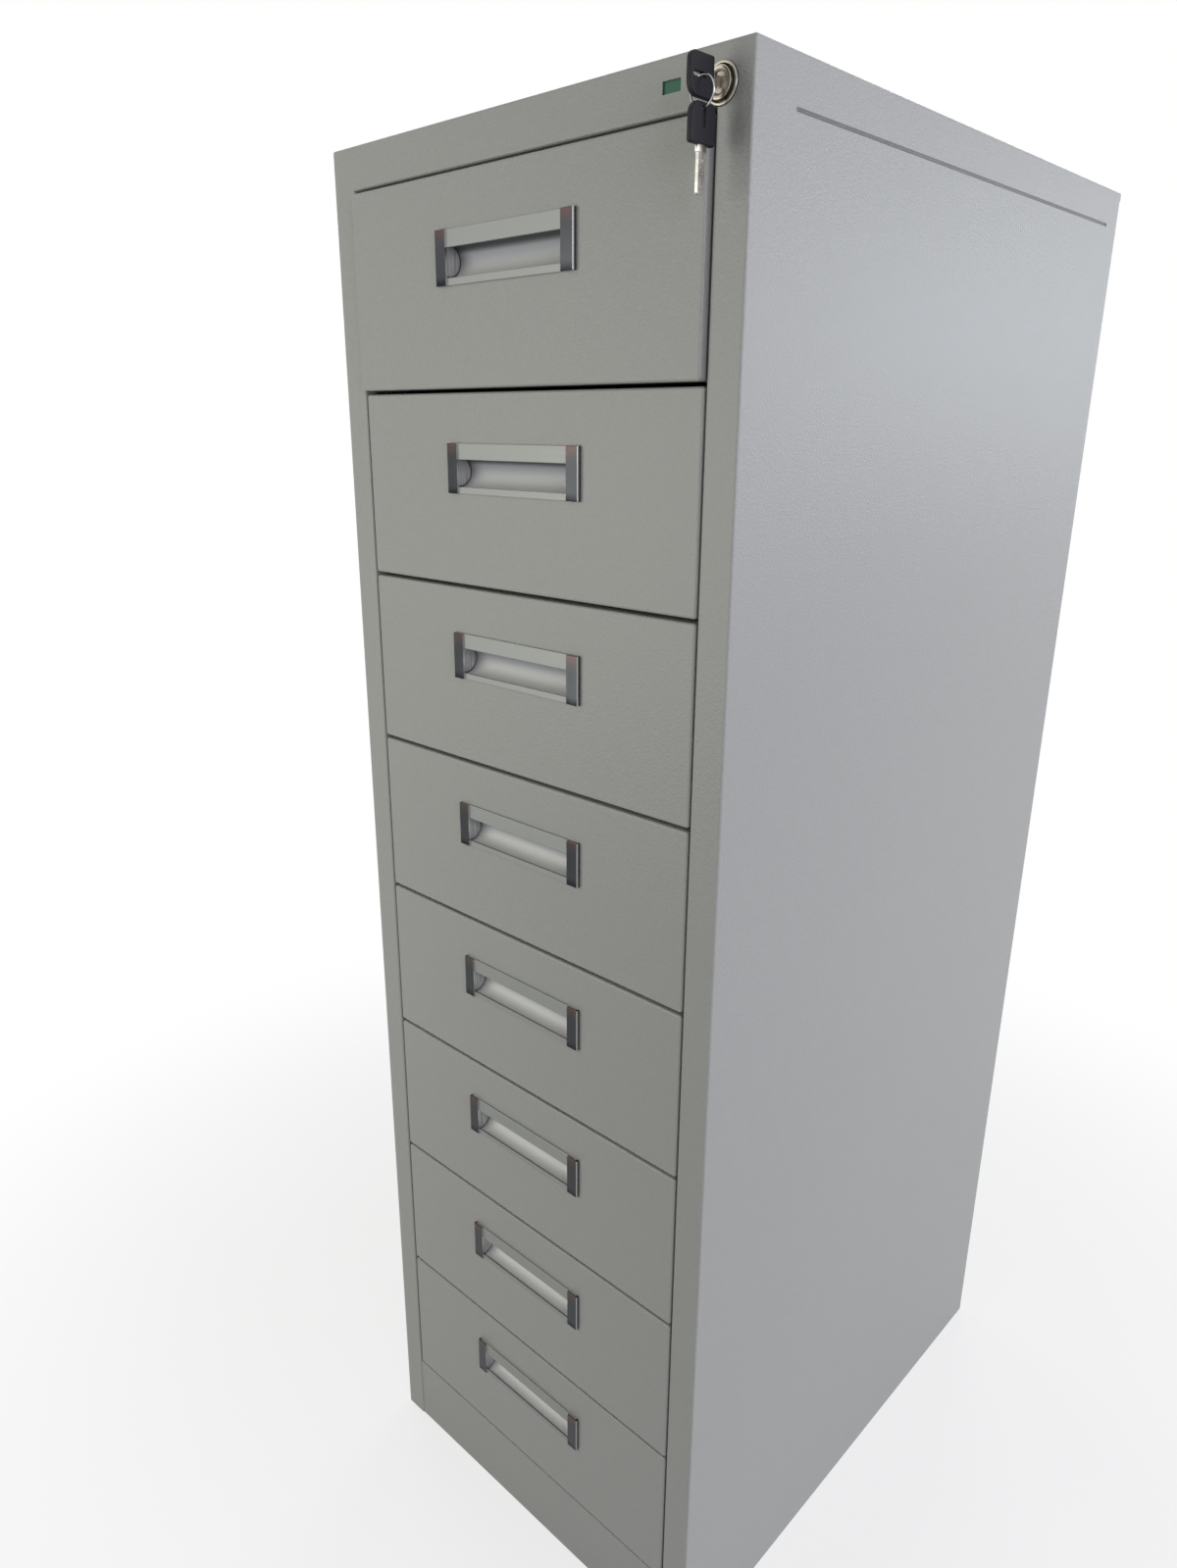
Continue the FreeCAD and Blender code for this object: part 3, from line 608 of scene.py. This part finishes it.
class Bench:
    """Makes mesh pieces and finishes them."""

    @staticmethod
    def piece(
        name: str, bm: bmesh.types.BMesh, material: bpy.types.Material
    ) -> bpy.types.Object:
        """Turns a mesh under construction into an object.

        Args:
            name: The piece's name.
            bm: The mesh, which is used up.
            material: Its finish.

        Returns:
            The new object, at the origin.
        """
        bmesh.ops.remove_doubles(bm, verts=bm.verts, dist=MERGE_DISTANCE)
        bmesh.ops.recalc_face_normals(bm, faces=bm.faces)
        Bench.crease(bm)
        mesh = bpy.data.meshes.new(name)
        bm.to_mesh(mesh)
        bm.free()
        mesh.materials.append(material)
        made = bpy.data.objects.new(name, mesh)
        bpy.context.scene.collection.objects.link(made)
        return made

    @staticmethod
    def crease(bm: bmesh.types.BMesh, degrees: float = 32.0) -> None:
        """Smooths every face and keeps the edges that turn more than that crisp."""
        limit = math.radians(degrees)
        for face in bm.faces:
            face.smooth = True
        for edge in bm.edges:
            edge.smooth = len(edge.link_faces) == 2 and edge.calc_face_angle() < limit

    @staticmethod
    def block(
        bm: bmesh.types.BMesh, low: Sequence[float], high: Sequence[float]
    ) -> list[bmesh.types.BMVert]:
        """A block between two corners, which a caller goes on to shape.

        Args:
            bm: The mesh to add it to.
            low: Its lowest corner.
            high: Its highest corner.

        Returns:
            Its vertices.
        """
        low, high = Vector(low), Vector(high)
        size = high - low
        place = Matrix.Translation((low + high) / 2) @ Matrix.Diagonal((*size, 1.0))
        return bmesh.ops.create_cube(bm, size=1.0, matrix=place)["verts"]

    @staticmethod
    def bevel(
        bm: bmesh.types.BMesh, edges: Iterable[bmesh.types.BMEdge], width: float, segments: int = 4
    ) -> None:
        """Rounds edges."""
        bmesh.ops.bevel(
            bm, geom=list(edges), offset=width, offset_type="OFFSET", segments=segments,
            profile=0.5, affect="EDGES", material=-1, clamp_overlap=True,
        )

    @staticmethod
    def turned(
        bm: bmesh.types.BMesh,
        profile: Sequence[tuple[float, float]],
        centre: Vector,
        steps: int,
        closed: bool = True,
    ) -> None:
        """A profile spun about an axis along Y.

        Args:
            bm: The mesh to add it to.
            profile: Each point's radius and depth behind the centre, in metres.
            centre: A point on the axis.
            steps: How many facets make the round.
            closed: Whether the profile's last point joins its first, or both lie on the axis.
        """
        verts = [
            bm.verts.new(centre + Vector((radius, depth, 0))) for radius, depth in profile
        ]
        edges = [bm.edges.new((a, b)) for a, b in zip(verts, verts[1:] + verts[:closed])]
        bmesh.ops.spin(
            bm, geom=verts + edges, cent=centre, axis=(0, 1, 0), angle=math.tau, steps=steps,
            use_merge=True,
        )

    @staticmethod
    def carve(piece: bpy.types.Object, cutter: bpy.types.Object) -> None:
        """Cuts one object out of another and deletes the cutter."""
        cut = piece.modifiers.new("cut", "BOOLEAN")
        cut.operation = "DIFFERENCE"
        cut.solver = "EXACT"
        cut.object = cutter
        graph = bpy.context.evaluated_depsgraph_get()
        carved = bpy.data.meshes.new_from_object(piece.evaluated_get(graph), depsgraph=graph)
        piece.modifiers.clear()
        bm = bmesh.new()
        bm.from_mesh(carved)
        Bench.crease(bm)
        bm.to_mesh(carved)
        bm.free()
        old = piece.data
        carved.name = old.name
        piece.data = carved
        bpy.data.meshes.remove(old)
        bpy.data.objects.remove(cutter)


@dataclass
class Finishes:
    """Every material of the cabinet, made once."""

    paint_tone: Colour = (0.415, 0.425, 0.40)
    pitch: float = 158.3125 * MM
    pull_middle: float = 1288.0 * MM
    lip_plane: float = -311.9 * MM
    top_drawer_ajar: float = 5.0 * MM
    lock_centre: tuple[float, float] = (193.6 * MM, 1361.6 * MM)
    made: dict[str, bpy.types.Material] = field(default_factory=dict)

    def build(self) -> None:
        """Makes them."""
        paint = PowderCoat("case_powder_coat", self.paint_tone)
        tray = PowderCoat("tray_powder_coat", self.paint_tone, dimples=520.0, relief=0.00007)
        zinc = DrawnMetal("zinc_plate", (0.48, 0.50, 0.53), Axis.DEEP, roughness=0.38)
        recipes = [
            paint,
            GrooveShadedCoat("side_coat_painted_groove_shade", self.paint_tone),
            zinc,
            DrawnMetal("upright_zinc", (0.48, 0.50, 0.52), Axis.UP, roughness=0.4),
            PlatedMetal("screw_zinc", (0.62, 0.62, 0.60), (0.45, 0.45, 0.44), roughness=0.3),
            PlatedMetal("nickel", (0.40, 0.37, 0.30), (0.26, 0.235, 0.185), roughness=0.24),
            TurnedNickel("lock_face_nickel_painted_shade", self.lock_centre, 13.0 * MM, self.lock_rings()),
            PlatedMetal("blade_nickel", (0.50, 0.48, 0.44), (0.36, 0.345, 0.31), roughness=0.24),
            PlatedMetal("ring_steel", (0.42, 0.43, 0.44), (0.32, 0.32, 0.33), roughness=0.18),
            *self.pull_finishes("", self.lip_plane),
            *self.pull_finishes("top_", self.lip_plane - self.top_drawer_ajar),
            MouldedPlastic("guide_nylon", (0.72, 0.72, 0.68), roughness=0.5),
            MouldedPlastic(
                "key_plastic", (0.0045, 0.005, 0.0085), roughness=0.5, gloss=0.24
            ),
            FlagStrip(
                "flag_plastic", (0.010, 0.115, 0.060), (0.42, 0.03, 0.025), border=162.0 * MM
            ),
            TrayFinish(
                "tray_and_slides", tray, zinc, tray_half=178.82 * MM, slide_middle=1238.1875 * MM,
                slide_half=20.0 * MM, pitch=self.pitch,
            ),
        ]
        for recipe in recipes:
            self.made[recipe.name] = recipe.make()
        log.info("finishes: %d", len(self.made))

    @staticmethod
    def lock_rings() -> tuple[tuple[float, Colour], ...]:
        """The tone of the lock's face at each radius: darker at the plug's middle, with painted shade
        at the seam round the plug, in the groove and at the outer edge.
        """
        # painted shade: the dark stops at 6.0 to 6.5 mm (seam round the plug), 9.6 to 10.4 mm (groove)
        # and 12.4 mm (outer edge)
        rings = (
            (0.0, (0.13, 0.115, 0.09)), (3.4, (0.27, 0.25, 0.205)), (5.6, (0.29, 0.265, 0.215)),
            (6.0, (0.03, 0.028, 0.024)), (6.5, (0.03, 0.028, 0.024)), (6.9, (0.33, 0.305, 0.25)),
            (9.2, (0.36, 0.335, 0.28)), (9.6, (0.05, 0.046, 0.038)), (10.4, (0.06, 0.055, 0.046)),
            (10.8, (0.34, 0.315, 0.265)), (12.0, (0.33, 0.305, 0.255)),
            (12.4, (0.10, 0.092, 0.078)),
        )
        return tuple((radius * MM, colour) for radius, colour in rings)

    def pull_finishes(self, prefix: str, lip_plane: float) -> list[PullAluminium | CapChrome]:
        """The two finishes of a pull whose lips' faces lie just in front of lip_plane."""
        return [
            PullAluminium(
                prefix + "pull_aluminium",
                lips=(0.30, 0.31, 0.297), trough_lit_bottom=(0.70, 0.70, 0.68), trough_shaded_top=(0.37, 0.38, 0.41),
                painted_lip_shadow=(0.05, 0.055, 0.06), lip_plane=lip_plane + 1.9 * MM,
                first_middle=self.pull_middle, pitch=self.pitch,
            ),
            CapChrome(
                prefix + "cap_chrome",
                face=(0.045, 0.048, 0.052), painted_side_highlight=(0.62, 0.62, 0.62), painted_warm_reflection=(0.085, 0.056, 0.052),
                first_middle=self.pull_middle, pitch=self.pitch, half_height=20.2 * MM,
                lip_plane=lip_plane,
            ),
        ]

    def __getitem__(self, name: str) -> bpy.types.Material:
        """One finish by name."""
        return self.made[name]

    def dress(self, nodes: dict[str, bpy.types.Object], finish: str, names: Iterable[str]) -> None:
        """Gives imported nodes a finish.

        Args:
            nodes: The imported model's objects by name.
            finish: The finish's name.
            names: The nodes that get it.
        """
        for name in names:
            for slot in nodes[name].material_slots:
                slot.material = self[finish]
            log.info("%s: %s", name, finish)


# Sub-assemblies


@dataclass
class Case:
    """The folded case, its base frame, uprights and the screws of the back."""

    screw_head: float = 8.0 * MM
    screw_height: float = 2.4 * MM
    shank: float = 4.0 * MM
    shank_length: float = 10.0 * MM
    recess_width: float = 1.1 * MM
    recess_reach: float = 2.3 * MM
    recess_depth: float = 1.4 * MM
    screw_rows: int = 5
    steps: int = 40
    sides: tuple[str, ...] = ("left_side_panel", "right_side_panel")
    panels: tuple[str, ...] = (
        "top_panel", "back_panel", "bottom_panel", "kick_plate", "base_frame",
    )

    def build(self, nodes: dict[str, bpy.types.Object], finishes: Finishes) -> None:
        """Dresses the case and gives the back its screws."""
        finishes.dress(nodes, "case_powder_coat", self.panels)
        finishes.dress(nodes, "side_coat_painted_groove_shade", self.sides)
        finishes.dress(nodes, "upright_zinc", ["slide_posts"])
        self._screws(finishes["screw_zinc"])

    def screw_profile(self) -> list[tuple[float, float]]:
        """Radius and depth of a screw's outline, from the middle of its head to the shank's end."""
        head, height, shank = self.screw_head / 2, self.screw_height, self.shank / 2
        return [
            (0.0, height), (head * 0.66, height), (head * 0.80, height * 0.955),
            (head * 0.91, height * 0.83), (head * 0.98, height * 0.63), (head, height * 0.42),
            (head, 0.0), (shank, 0.0), (shank, -self.shank_length), (0.0, -self.shank_length),
        ]

    def _screws(self, material: bpy.types.Material) -> None:
        """Ten pan-head screws with cross recesses, each stopped at its own angle."""
        bm = bmesh.new()
        Bench.turned(bm, self.screw_profile(), Vector((0, 0, 0)), self.steps, closed=False)
        screw = Bench.piece("back_screw", bm, material)
        for arm in range(2):
            Bench.carve(screw, self._recess_cutter(arm * math.pi / 2, material))
        low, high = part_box("back_screws")
        edge = self.screw_head / 2
        rise = (high[2] - low[2] - self.screw_head) / (self.screw_rows - 1)
        bm = bmesh.new()
        for row in range(self.screw_rows):
            for column, x in enumerate((low[0] + edge, high[0] - edge)):
                old = len(bm.verts)
                bm.from_mesh(screw.data)
                fresh = bm.verts[:][old:]
                stopped = Matrix.Rotation(0.7 * row + 1.9 * column, 3, "Y")
                bmesh.ops.rotate(bm, verts=fresh, cent=(0, 0, 0), matrix=stopped)
                place = (x, high[1] - self.screw_height, low[2] + edge + row * rise)
                bmesh.ops.translate(bm, verts=fresh, vec=place)
        bpy.data.objects.remove(screw)
        screws = Bench.piece("back_screws_cross_head", bm, material)
        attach(screws, "case")
        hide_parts("back_screws")
        log.info("back_screws_cross_head on case")

    def _recess_cutter(self, angle: float, material: bpy.types.Material) -> bpy.types.Object:
        """The block that cuts one arm of the cross, narrower at its foot."""
        bm = bmesh.new()
        half = self.recess_width / 2
        foot = self.screw_height - self.recess_depth
        verts = Bench.block(
            bm,
            (-self.recess_reach, foot, -half),
            (self.recess_reach, self.screw_height + half, half),
        )
        deep = [vert for vert in verts if vert.co.y < foot + half]
        bmesh.ops.scale(bm, verts=deep, vec=(0.55, 1.0, 0.7))
        bmesh.ops.rotate(bm, verts=verts, cent=(0, 0, 0), matrix=Matrix.Rotation(angle, 3, "Y"))
        return Bench.piece("recess_cutter", bm, material)


@dataclass
class Drawer:
    """One drawer with its pull and slides."""

    number: int

    def build(self, nodes: dict[str, bpy.types.Object], finishes: Finishes) -> None:
        """Dresses the drawer."""
        name = f"drawer_{self.number}_"
        finishes.dress(nodes, "case_powder_coat", [name + "front"])
        finishes.dress(nodes, "tray_and_slides", [name + "tray"])
        prefix = "top_" if self.number == 1 else ""
        finishes.dress(nodes, prefix + "pull_aluminium", [name + "grip"])
        finishes.dress(nodes, prefix + "cap_chrome", [name + "grip_caps"])
        finishes.dress(nodes, "zinc_plate", [name + "middle_slides"])


@dataclass
class Lock:
    """The lock with its bar, flag and guides."""

    bore: float = 6.08 * MM
    barrel: float = 8.0 * MM
    barrel_depth: float = 22.0 * MM
    flange: float = 12.4 * MM
    steps: int = 128

    def housing_profile(self) -> list[tuple[float, float]]:
        """Radius and depth of the housing's outline, from the bore's rear end to its front."""
        turned = [
            (12.4, -0.45), (12.3, -0.9), (11.95, -1.3), (11.4, -1.55), (10.9, -1.6), (10.5, -1.45),
            (10.25, -1.05), (9.95, -0.85), (9.65, -1.05), (9.5, -1.5), (9.5, -3.2), (9.35, -3.65),
            (9.0, -3.93), (8.6, -4.0), (7.7, -4.0), (7.35, -3.9), (7.0, -3.5), (6.6, -3.2),
        ]
        return [
            (self.bore, self.barrel_depth), (self.barrel, self.barrel_depth), (self.barrel, 0.0),
            (self.flange, 0.0), *[(r * MM, y * MM) for r, y in turned], (self.bore, -3.1 * MM),
        ]

    def build(self, nodes: dict[str, bpy.types.Object], finishes: Finishes) -> None:
        """Dresses the lock and turns its housing."""
        low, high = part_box("lock_housing")
        middle = (low + high) / 2
        front = high[1] - self.barrel_depth
        bm = bmesh.new()
        centre = Vector((middle[0], front, middle[2]))
        Bench.turned(bm, self.housing_profile(), centre, self.steps)
        housing = Bench.piece("lock_housing_turned", bm, finishes["lock_face_nickel_painted_shade"])
        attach(housing, "case")
        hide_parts("lock_housing")
        log.info("lock_housing_turned: nickel")
        finishes.dress(nodes, "nickel", ["lock_nut", "lock_cam"])
        finishes.dress(nodes, "lock_face_nickel_painted_shade", ["lock_plug"])
        finishes.dress(nodes, "upright_zinc", ["lock_bar"])
        finishes.dress(nodes, "zinc_plate", ["outer_slides"])
        finishes.dress(nodes, "guide_nylon", ["lock_guides"])
        finishes.dress(nodes, "flag_plastic", ["status_flag"])


@dataclass
class KeyShape:
    """A key along +Y, its width along Z, with the head's near end at the origin."""

    head_length: float = 22.5 * MM
    head_width: float = 23.5 * MM
    head_thickness: float = 4.0 * MM
    far_corners: tuple[float, float] = (5.0 * MM, 7.5 * MM)
    near_corner: float = 1.5 * MM
    edge: float = 0.9 * MM
    flat_rim: float = 0.12 * MM
    slot_far: float = 20.4 * MM
    slot_length: float = 12.0 * MM
    slot_width: float = 3.3 * MM
    shoulder_length: float = 4.0 * MM
    shoulder_width: float = 8.5 * MM
    blade_length: float = 26.8 * MM
    blade_width: float = 6.0 * MM
    blade_thickness: float = 2.2 * MM
    dimple: float = 1.05 * MM
    dimple_places: tuple[tuple[float, float], ...] = (
        (8.5, 0.9), (12.0, -0.8), (15.5, 0.9), (19.0, -0.8), (22.5, 0.7),
    )

    def head(self, name: str, material: bpy.types.Material) -> bpy.types.Object:
        """The moulded head, rounded all round, with the ring's slot."""
        bm = bmesh.new()
        half = self.head_width / 2
        upright = Matrix.Rotation(math.pi / 2, 4, "Y")
        flat = Matrix.Translation((0, -self.head_length / 2, 0)) @ upright
        scale = Matrix.Diagonal((self.head_width, self.head_length, 1.0, 1.0))
        bmesh.ops.create_grid(bm, x_segments=1, y_segments=1, size=0.5, matrix=flat @ scale)
        corners = [
            (-self.head_length, half, self.far_corners[0]),
            (-self.head_length, -half, self.far_corners[1]),
            (0.0, half, self.near_corner),
            (0.0, -half, self.near_corner),
        ]
        for y, z, radius in corners:
            corner = min(bm.verts, key=lambda vert: (vert.co - Vector((0, y, z))).length)
            bmesh.ops.bevel(
                bm, geom=[corner], offset=radius, offset_type="OFFSET", segments=10, profile=0.5,
                affect="VERTICES", material=-1, clamp_overlap=True,
            )
        bmesh.ops.translate(bm, verts=bm.verts, vec=(-self.head_thickness / 2, 0, 0))
        grown = bmesh.ops.extrude_face_region(bm, geom=bm.faces[:])
        raised = [part for part in grown["geom"] if isinstance(part, bmesh.types.BMVert)]
        bmesh.ops.translate(bm, verts=raised, vec=(self.head_thickness, 0, 0))
        bmesh.ops.recalc_face_normals(bm, faces=bm.faces)
        rim = [
            edge for edge in bm.edges if abs(edge.verts[0].co.x - edge.verts[1].co.x) < LEVEL
        ]
        Bench.bevel(bm, rim, self.edge, segments=4)
        bm.normal_update()
        broad = [face for face in bm.faces if abs(face.normal.x) > 0.999]
        bmesh.ops.inset_individual(bm, faces=broad, thickness=self.flat_rim, use_even_offset=True)
        head = Bench.piece(name, bm, material)
        Bench.carve(head, self._slot_cutter(material))
        return head

    def _slot_cutter(self, material: bpy.types.Material) -> bpy.types.Object:
        """The block that cuts the slot, round at both ends."""
        bm = bmesh.new()
        half = self.slot_width / 2
        reach = self.head_thickness
        verts = Bench.block(
            bm, (-reach, -self.slot_far, -half), (reach, self.slot_length - self.slot_far, half)
        )
        across = {
            e for v in verts for e in v.link_edges
            if abs(e.verts[0].co.x - e.verts[1].co.x) > reach
        }
        Bench.bevel(bm, across, half * 0.999, segments=8)
        return Bench.piece("slot_cutter", bm, material)

    def blade(self, name: str, material: bpy.types.Material) -> bpy.types.Object:
        """The steel blade with its rounded tip and dimples."""
        bm = bmesh.new()
        thick = self.blade_thickness / 2
        wide = self.blade_width / 2
        verts = Bench.block(bm, (-thick, 0, -wide), (thick, self.blade_length, wide))
        tip = {
            e for v in verts for e in v.link_edges
            if min(p.co.y for p in e.verts) > self.blade_length / 2
            and e.verts[0].co.z == e.verts[1].co.z
        }
        Bench.bevel(bm, tip, 1.8 * MM, segments=6)
        blade = Bench.piece(name, bm, material)
        for y, z in self.dimple_places:
            for side in (-1, 1):
                Bench.carve(blade, self._dimple_cutter(side, y * MM, z * MM, material))
        return blade

    def _dimple_cutter(
        self, side: int, y: float, z: float, material: bpy.types.Material
    ) -> bpy.types.Object:
        """A cone that sinks one dimple into a face of the blade."""
        bm = bmesh.new()
        turn = Matrix.Rotation(-side * math.pi / 2, 4, "Y")
        place = Matrix.Translation((side * self.blade_thickness / 2, y, z)) @ turn
        bmesh.ops.create_cone(
            bm, cap_ends=True, segments=20, radius1=self.dimple, radius2=0.2 * MM,
            depth=self.dimple * 0.9, matrix=place,
        )
        return Bench.piece("dimple_cutter", bm, material)

    def shoulder(self, name: str, material: bpy.types.Material) -> bpy.types.Object:
        """The wider start of the blade."""
        bm = bmesh.new()
        thick = self.blade_thickness / 2 + 0.02 * MM
        wide = self.shoulder_width / 2
        verts = Bench.block(bm, (-thick, 0, -wide), (thick, self.shoulder_length, wide))
        Bench.bevel(bm, {e for v in verts for e in v.link_edges}, 0.25 * MM, segments=2)
        return Bench.piece(name, bm, material)


@dataclass
class Keys:
    """The key in the lock, the ring and the spare key."""

    shape: KeyShape = field(default_factory=KeyShape)
    ring_wire: float = 1.3 * MM
    wire_sides: int = 14
    ring_steps: int = 72

    def build(self, finishes: Finishes) -> None:
        """Makes both keys and the ring."""
        low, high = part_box("key_in_lock")
        lock_key = Matrix.Translation(
            ((low[0] + high[0]) / 2, low[1] + self.shape.head_length, (low[2] + high[2]) / 2)
        )
        low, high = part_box("spare_key")
        spare = Matrix.Translation(
            ((low[0] + high[0]) / 2, (low[1] + high[1]) / 2, high[2] - self.shape.head_length)
        ) @ Matrix.Rotation(-math.pi / 2, 4, "X")
        for body, node, place in (
            ("lock_key", "key_in_lock", lock_key),
            ("spare_key", "spare_key", spare),
        ):
            pieces = [
                self.shape.head(node + "_head", finishes["key_plastic"]),
                self.shape.blade(node + "_blade", finishes["blade_nickel"]),
                self.shape.shoulder(node + "_shoulder", finishes["blade_nickel"]),
            ]
            for piece in pieces:
                piece.data.transform(place)
                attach(piece, body)
                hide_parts(node)
                log.info("%s on %s", piece.name, body)
        self._ring(finishes)

    def _ring(self, finishes: Finishes) -> None:
        """The wire ring."""
        low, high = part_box("key_ring")
        centre = (low + high) / 2
        radius = (high[0] - low[0] - self.ring_wire) / 2
        bm = bmesh.new()
        start = Matrix.Translation(centre + Vector((radius, 0, 0)))
        bmesh.ops.create_circle(
            bm, segments=self.wire_sides, radius=self.ring_wire / 2, matrix=start
        )
        bmesh.ops.spin(
            bm, geom=bm.verts[:] + bm.edges[:], cent=centre, axis=(0, 1, 0), angle=math.tau,
            steps=self.ring_steps, use_merge=True,
        )
        ring = Bench.piece("key_ring_wire", bm, finishes["ring_steel"])
        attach(ring, "key_ring")
        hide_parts("key_ring")
        log.info("key_ring_wire on key_ring")


# Studio


@dataclass(frozen=True)
class Lamp:
    """A square soft lamp."""

    name: str
    place: tuple[float, float, float]
    target: tuple[float, float, float]
    size: float
    watts: float
    tone: Colour = (1.0, 1.0, 1.0)

    def build(self) -> None:
        """Hangs the lamp."""
        data = bpy.data.lights.new(self.name, "AREA")
        data.size = self.size
        data.energy = self.watts
        data.color = self.tone
        lamp = bpy.data.objects.new(self.name, data)
        lamp.location = self.place
        aim = Vector(self.target) - Vector(self.place)
        lamp.rotation_euler = aim.to_track_quat("-Z", "Y").to_euler()
        bpy.context.scene.collection.objects.link(lamp)


@dataclass
class Studio:
    """A pale floor, a white world and soft lamps, at a plain level."""

    floor_half: float = 8.0
    world_light: float = 0.14
    floor_shadow: float = 0.29
    shadow_near: float = 0.3
    shadow_far: float = 1.35
    lamps: tuple[Lamp, ...] = (
        Lamp("far_side_lamp", (3.0, 0.6, 1.6), (0.2, 0.0, 0.9), 1.6, 40.0, (0.87, 0.865, 1.0)),
        Lamp("near_side_lamp", (2.8, -1.4, 1.6), (0.2, 0.0, 0.9), 1.4, 22.0, (0.90, 0.89, 1.0)),
        Lamp("front_lamp", (-0.65, -1.5, 1.0), (-0.1, -0.3, 0.95), 1.0, 6.8, (1.0, 0.99, 0.90)),
        Lamp("high_front_lamp", (-1.0, -1.6, 2.0), (0.0, -0.3, 1.2), 1.0, 1.9, (1.0, 0.99, 0.92)),
        Lamp("left_side_lamp", (-2.8, 0.9, 1.5), (-0.2, 0.1, 0.8), 1.6, 22.0),
        Lamp("back_lamp", (-1.2, 3.0, 2.4), (0.0, 0.3, 0.8), 1.8, 30.0),
        Lamp("window_lamp", (1.95, 2.9, 1.5), (0.2, 0.0, 1.2), 0.8, 12.2, (0.85, 0.92, 1.0)),
    )

    def build(self) -> None:
        """Makes the floor, the world and the lamps."""
        self._floor()
        self._world()
        for lamp in self.lamps:
            lamp.build()
        bpy.context.scene.view_settings.view_transform = "Standard"
        log.info("studio: %d lamps", len(self.lamps))

    def _floor(self) -> None:
        """A flat floor that shows near white and keeps a soft shadow round the object."""
        bm = bmesh.new()
        bmesh.ops.create_grid(bm, x_segments=2, y_segments=2, size=self.floor_half)
        web = Web("pale_floor")
        across = web.axis(Axis.ACROSS)
        deep = web.axis(Axis.DEEP)
        away = (across * across + deep * deep).rise(self.shadow_near ** 2, self.shadow_far ** 2)
        seen = web.shown()
        glow_share = seen * (1 - (1 - away) * self.floor_shadow)
        paint = web.node(
            "ShaderNodeBsdfDiffuse",
            sockets={"Color": web.blend((0.4, 0.4, 0.4), (0.95, 0.95, 0.95), seen)},
        )
        glow = web.node("ShaderNodeEmission", sockets={"Color": (1.0, 1.0, 1.0), "Strength": 1.0})
        web.node_out(web.node("ShaderNodeMixShader", sockets={0: glow_share, 1: paint, 2: glow}))
        Bench.piece("floor", bm, web.material)

    def _world(self) -> None:
        """A white world that lights the object softly and shows white behind it."""
        world = bpy.data.worlds.new("white_room")
        world.use_nodes = True
        tree = world.node_tree
        tree.nodes.clear()
        path = tree.nodes.new("ShaderNodeLightPath")
        either = tree.nodes.new("ShaderNodeMath")
        any_of = tree.nodes.new("ShaderNodeMath")
        any_of.use_clamp = True
        soft = tree.nodes.new("ShaderNodeBackground")
        soft.inputs["Color"].default_value = (1.0, 1.0, 1.0, 1.0)
        soft.inputs["Strength"].default_value = self.world_light
        white = tree.nodes.new("ShaderNodeBackground")
        white.inputs["Color"].default_value = (1.0, 1.0, 1.0, 1.0)
        mix = tree.nodes.new("ShaderNodeMixShader")
        out = tree.nodes.new("ShaderNodeOutputWorld")
        tree.links.new(path.outputs["Is Camera Ray"], either.inputs[0])
        tree.links.new(path.outputs["Is Glossy Ray"], either.inputs[1])
        tree.links.new(either.outputs[0], any_of.inputs[0])
        tree.links.new(path.outputs["Is Transmission Ray"], any_of.inputs[1])
        tree.links.new(any_of.outputs[0], mix.inputs[0])
        tree.links.new(soft.outputs[0], mix.inputs[1])
        tree.links.new(white.outputs[0], mix.inputs[2])
        tree.links.new(mix.outputs[0], out.inputs["Surface"])
        bpy.context.scene.world = world


@dataclass(frozen=True)
class PhotoCamera:
    """The camera where the photograph was taken from."""

    place: tuple[float, float, float] = (0.652300, -0.911379, 1.163815)
    yaw: float = -0.7561
    pitch: float = -0.3225
    roll: float = 0.0050
    focal_pixels: float = 1092.52
    tall_pixels: float = 1599.0
    sensor: float = 36.0

    def build(self) -> None:
        """Sets the camera up."""
        data = bpy.data.cameras.new("photo_camera")
        data.sensor_width = self.sensor
        data.lens = self.focal_pixels / self.tall_pixels * self.sensor
        data.clip_start = 0.01
        camera = bpy.data.objects.new("photo_camera", data)
        ahead = Vector((
            math.sin(self.yaw) * math.cos(self.pitch),
            math.cos(self.yaw) * math.cos(self.pitch),
            math.sin(self.pitch),
        ))
        right = Vector((math.cos(self.yaw), -math.sin(self.yaw), 0.0))
        up = right.cross(ahead)
        turned_right = math.cos(self.roll) * right + math.sin(self.roll) * up
        turned_up = math.cos(self.roll) * up - math.sin(self.roll) * right
        turn = Matrix((turned_right, turned_up, -ahead)).transposed()
        camera.matrix_world = Matrix.Translation(self.place) @ turn.to_4x4()
        bpy.context.scene.collection.objects.link(camera)
        bpy.context.scene.camera = camera
        log.info("camera: lens %.2f mm", data.lens)


def main() -> None:
    """Builds the scene."""
    logging.basicConfig(level=logging.INFO, format="%(name)s %(message)s")
    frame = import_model()
    nodes = frame["nodes"]
    PhotoCamera().build()
    finishes = Finishes()
    finishes.build()
    Case().build(nodes, finishes)
    for number in range(1, DRAWERS + 1):
        Drawer(number).build(nodes, finishes)
    Lock().build(nodes, finishes)
    Keys().build(finishes)
    Studio().build()


if __name__ == "__main__":
    main()
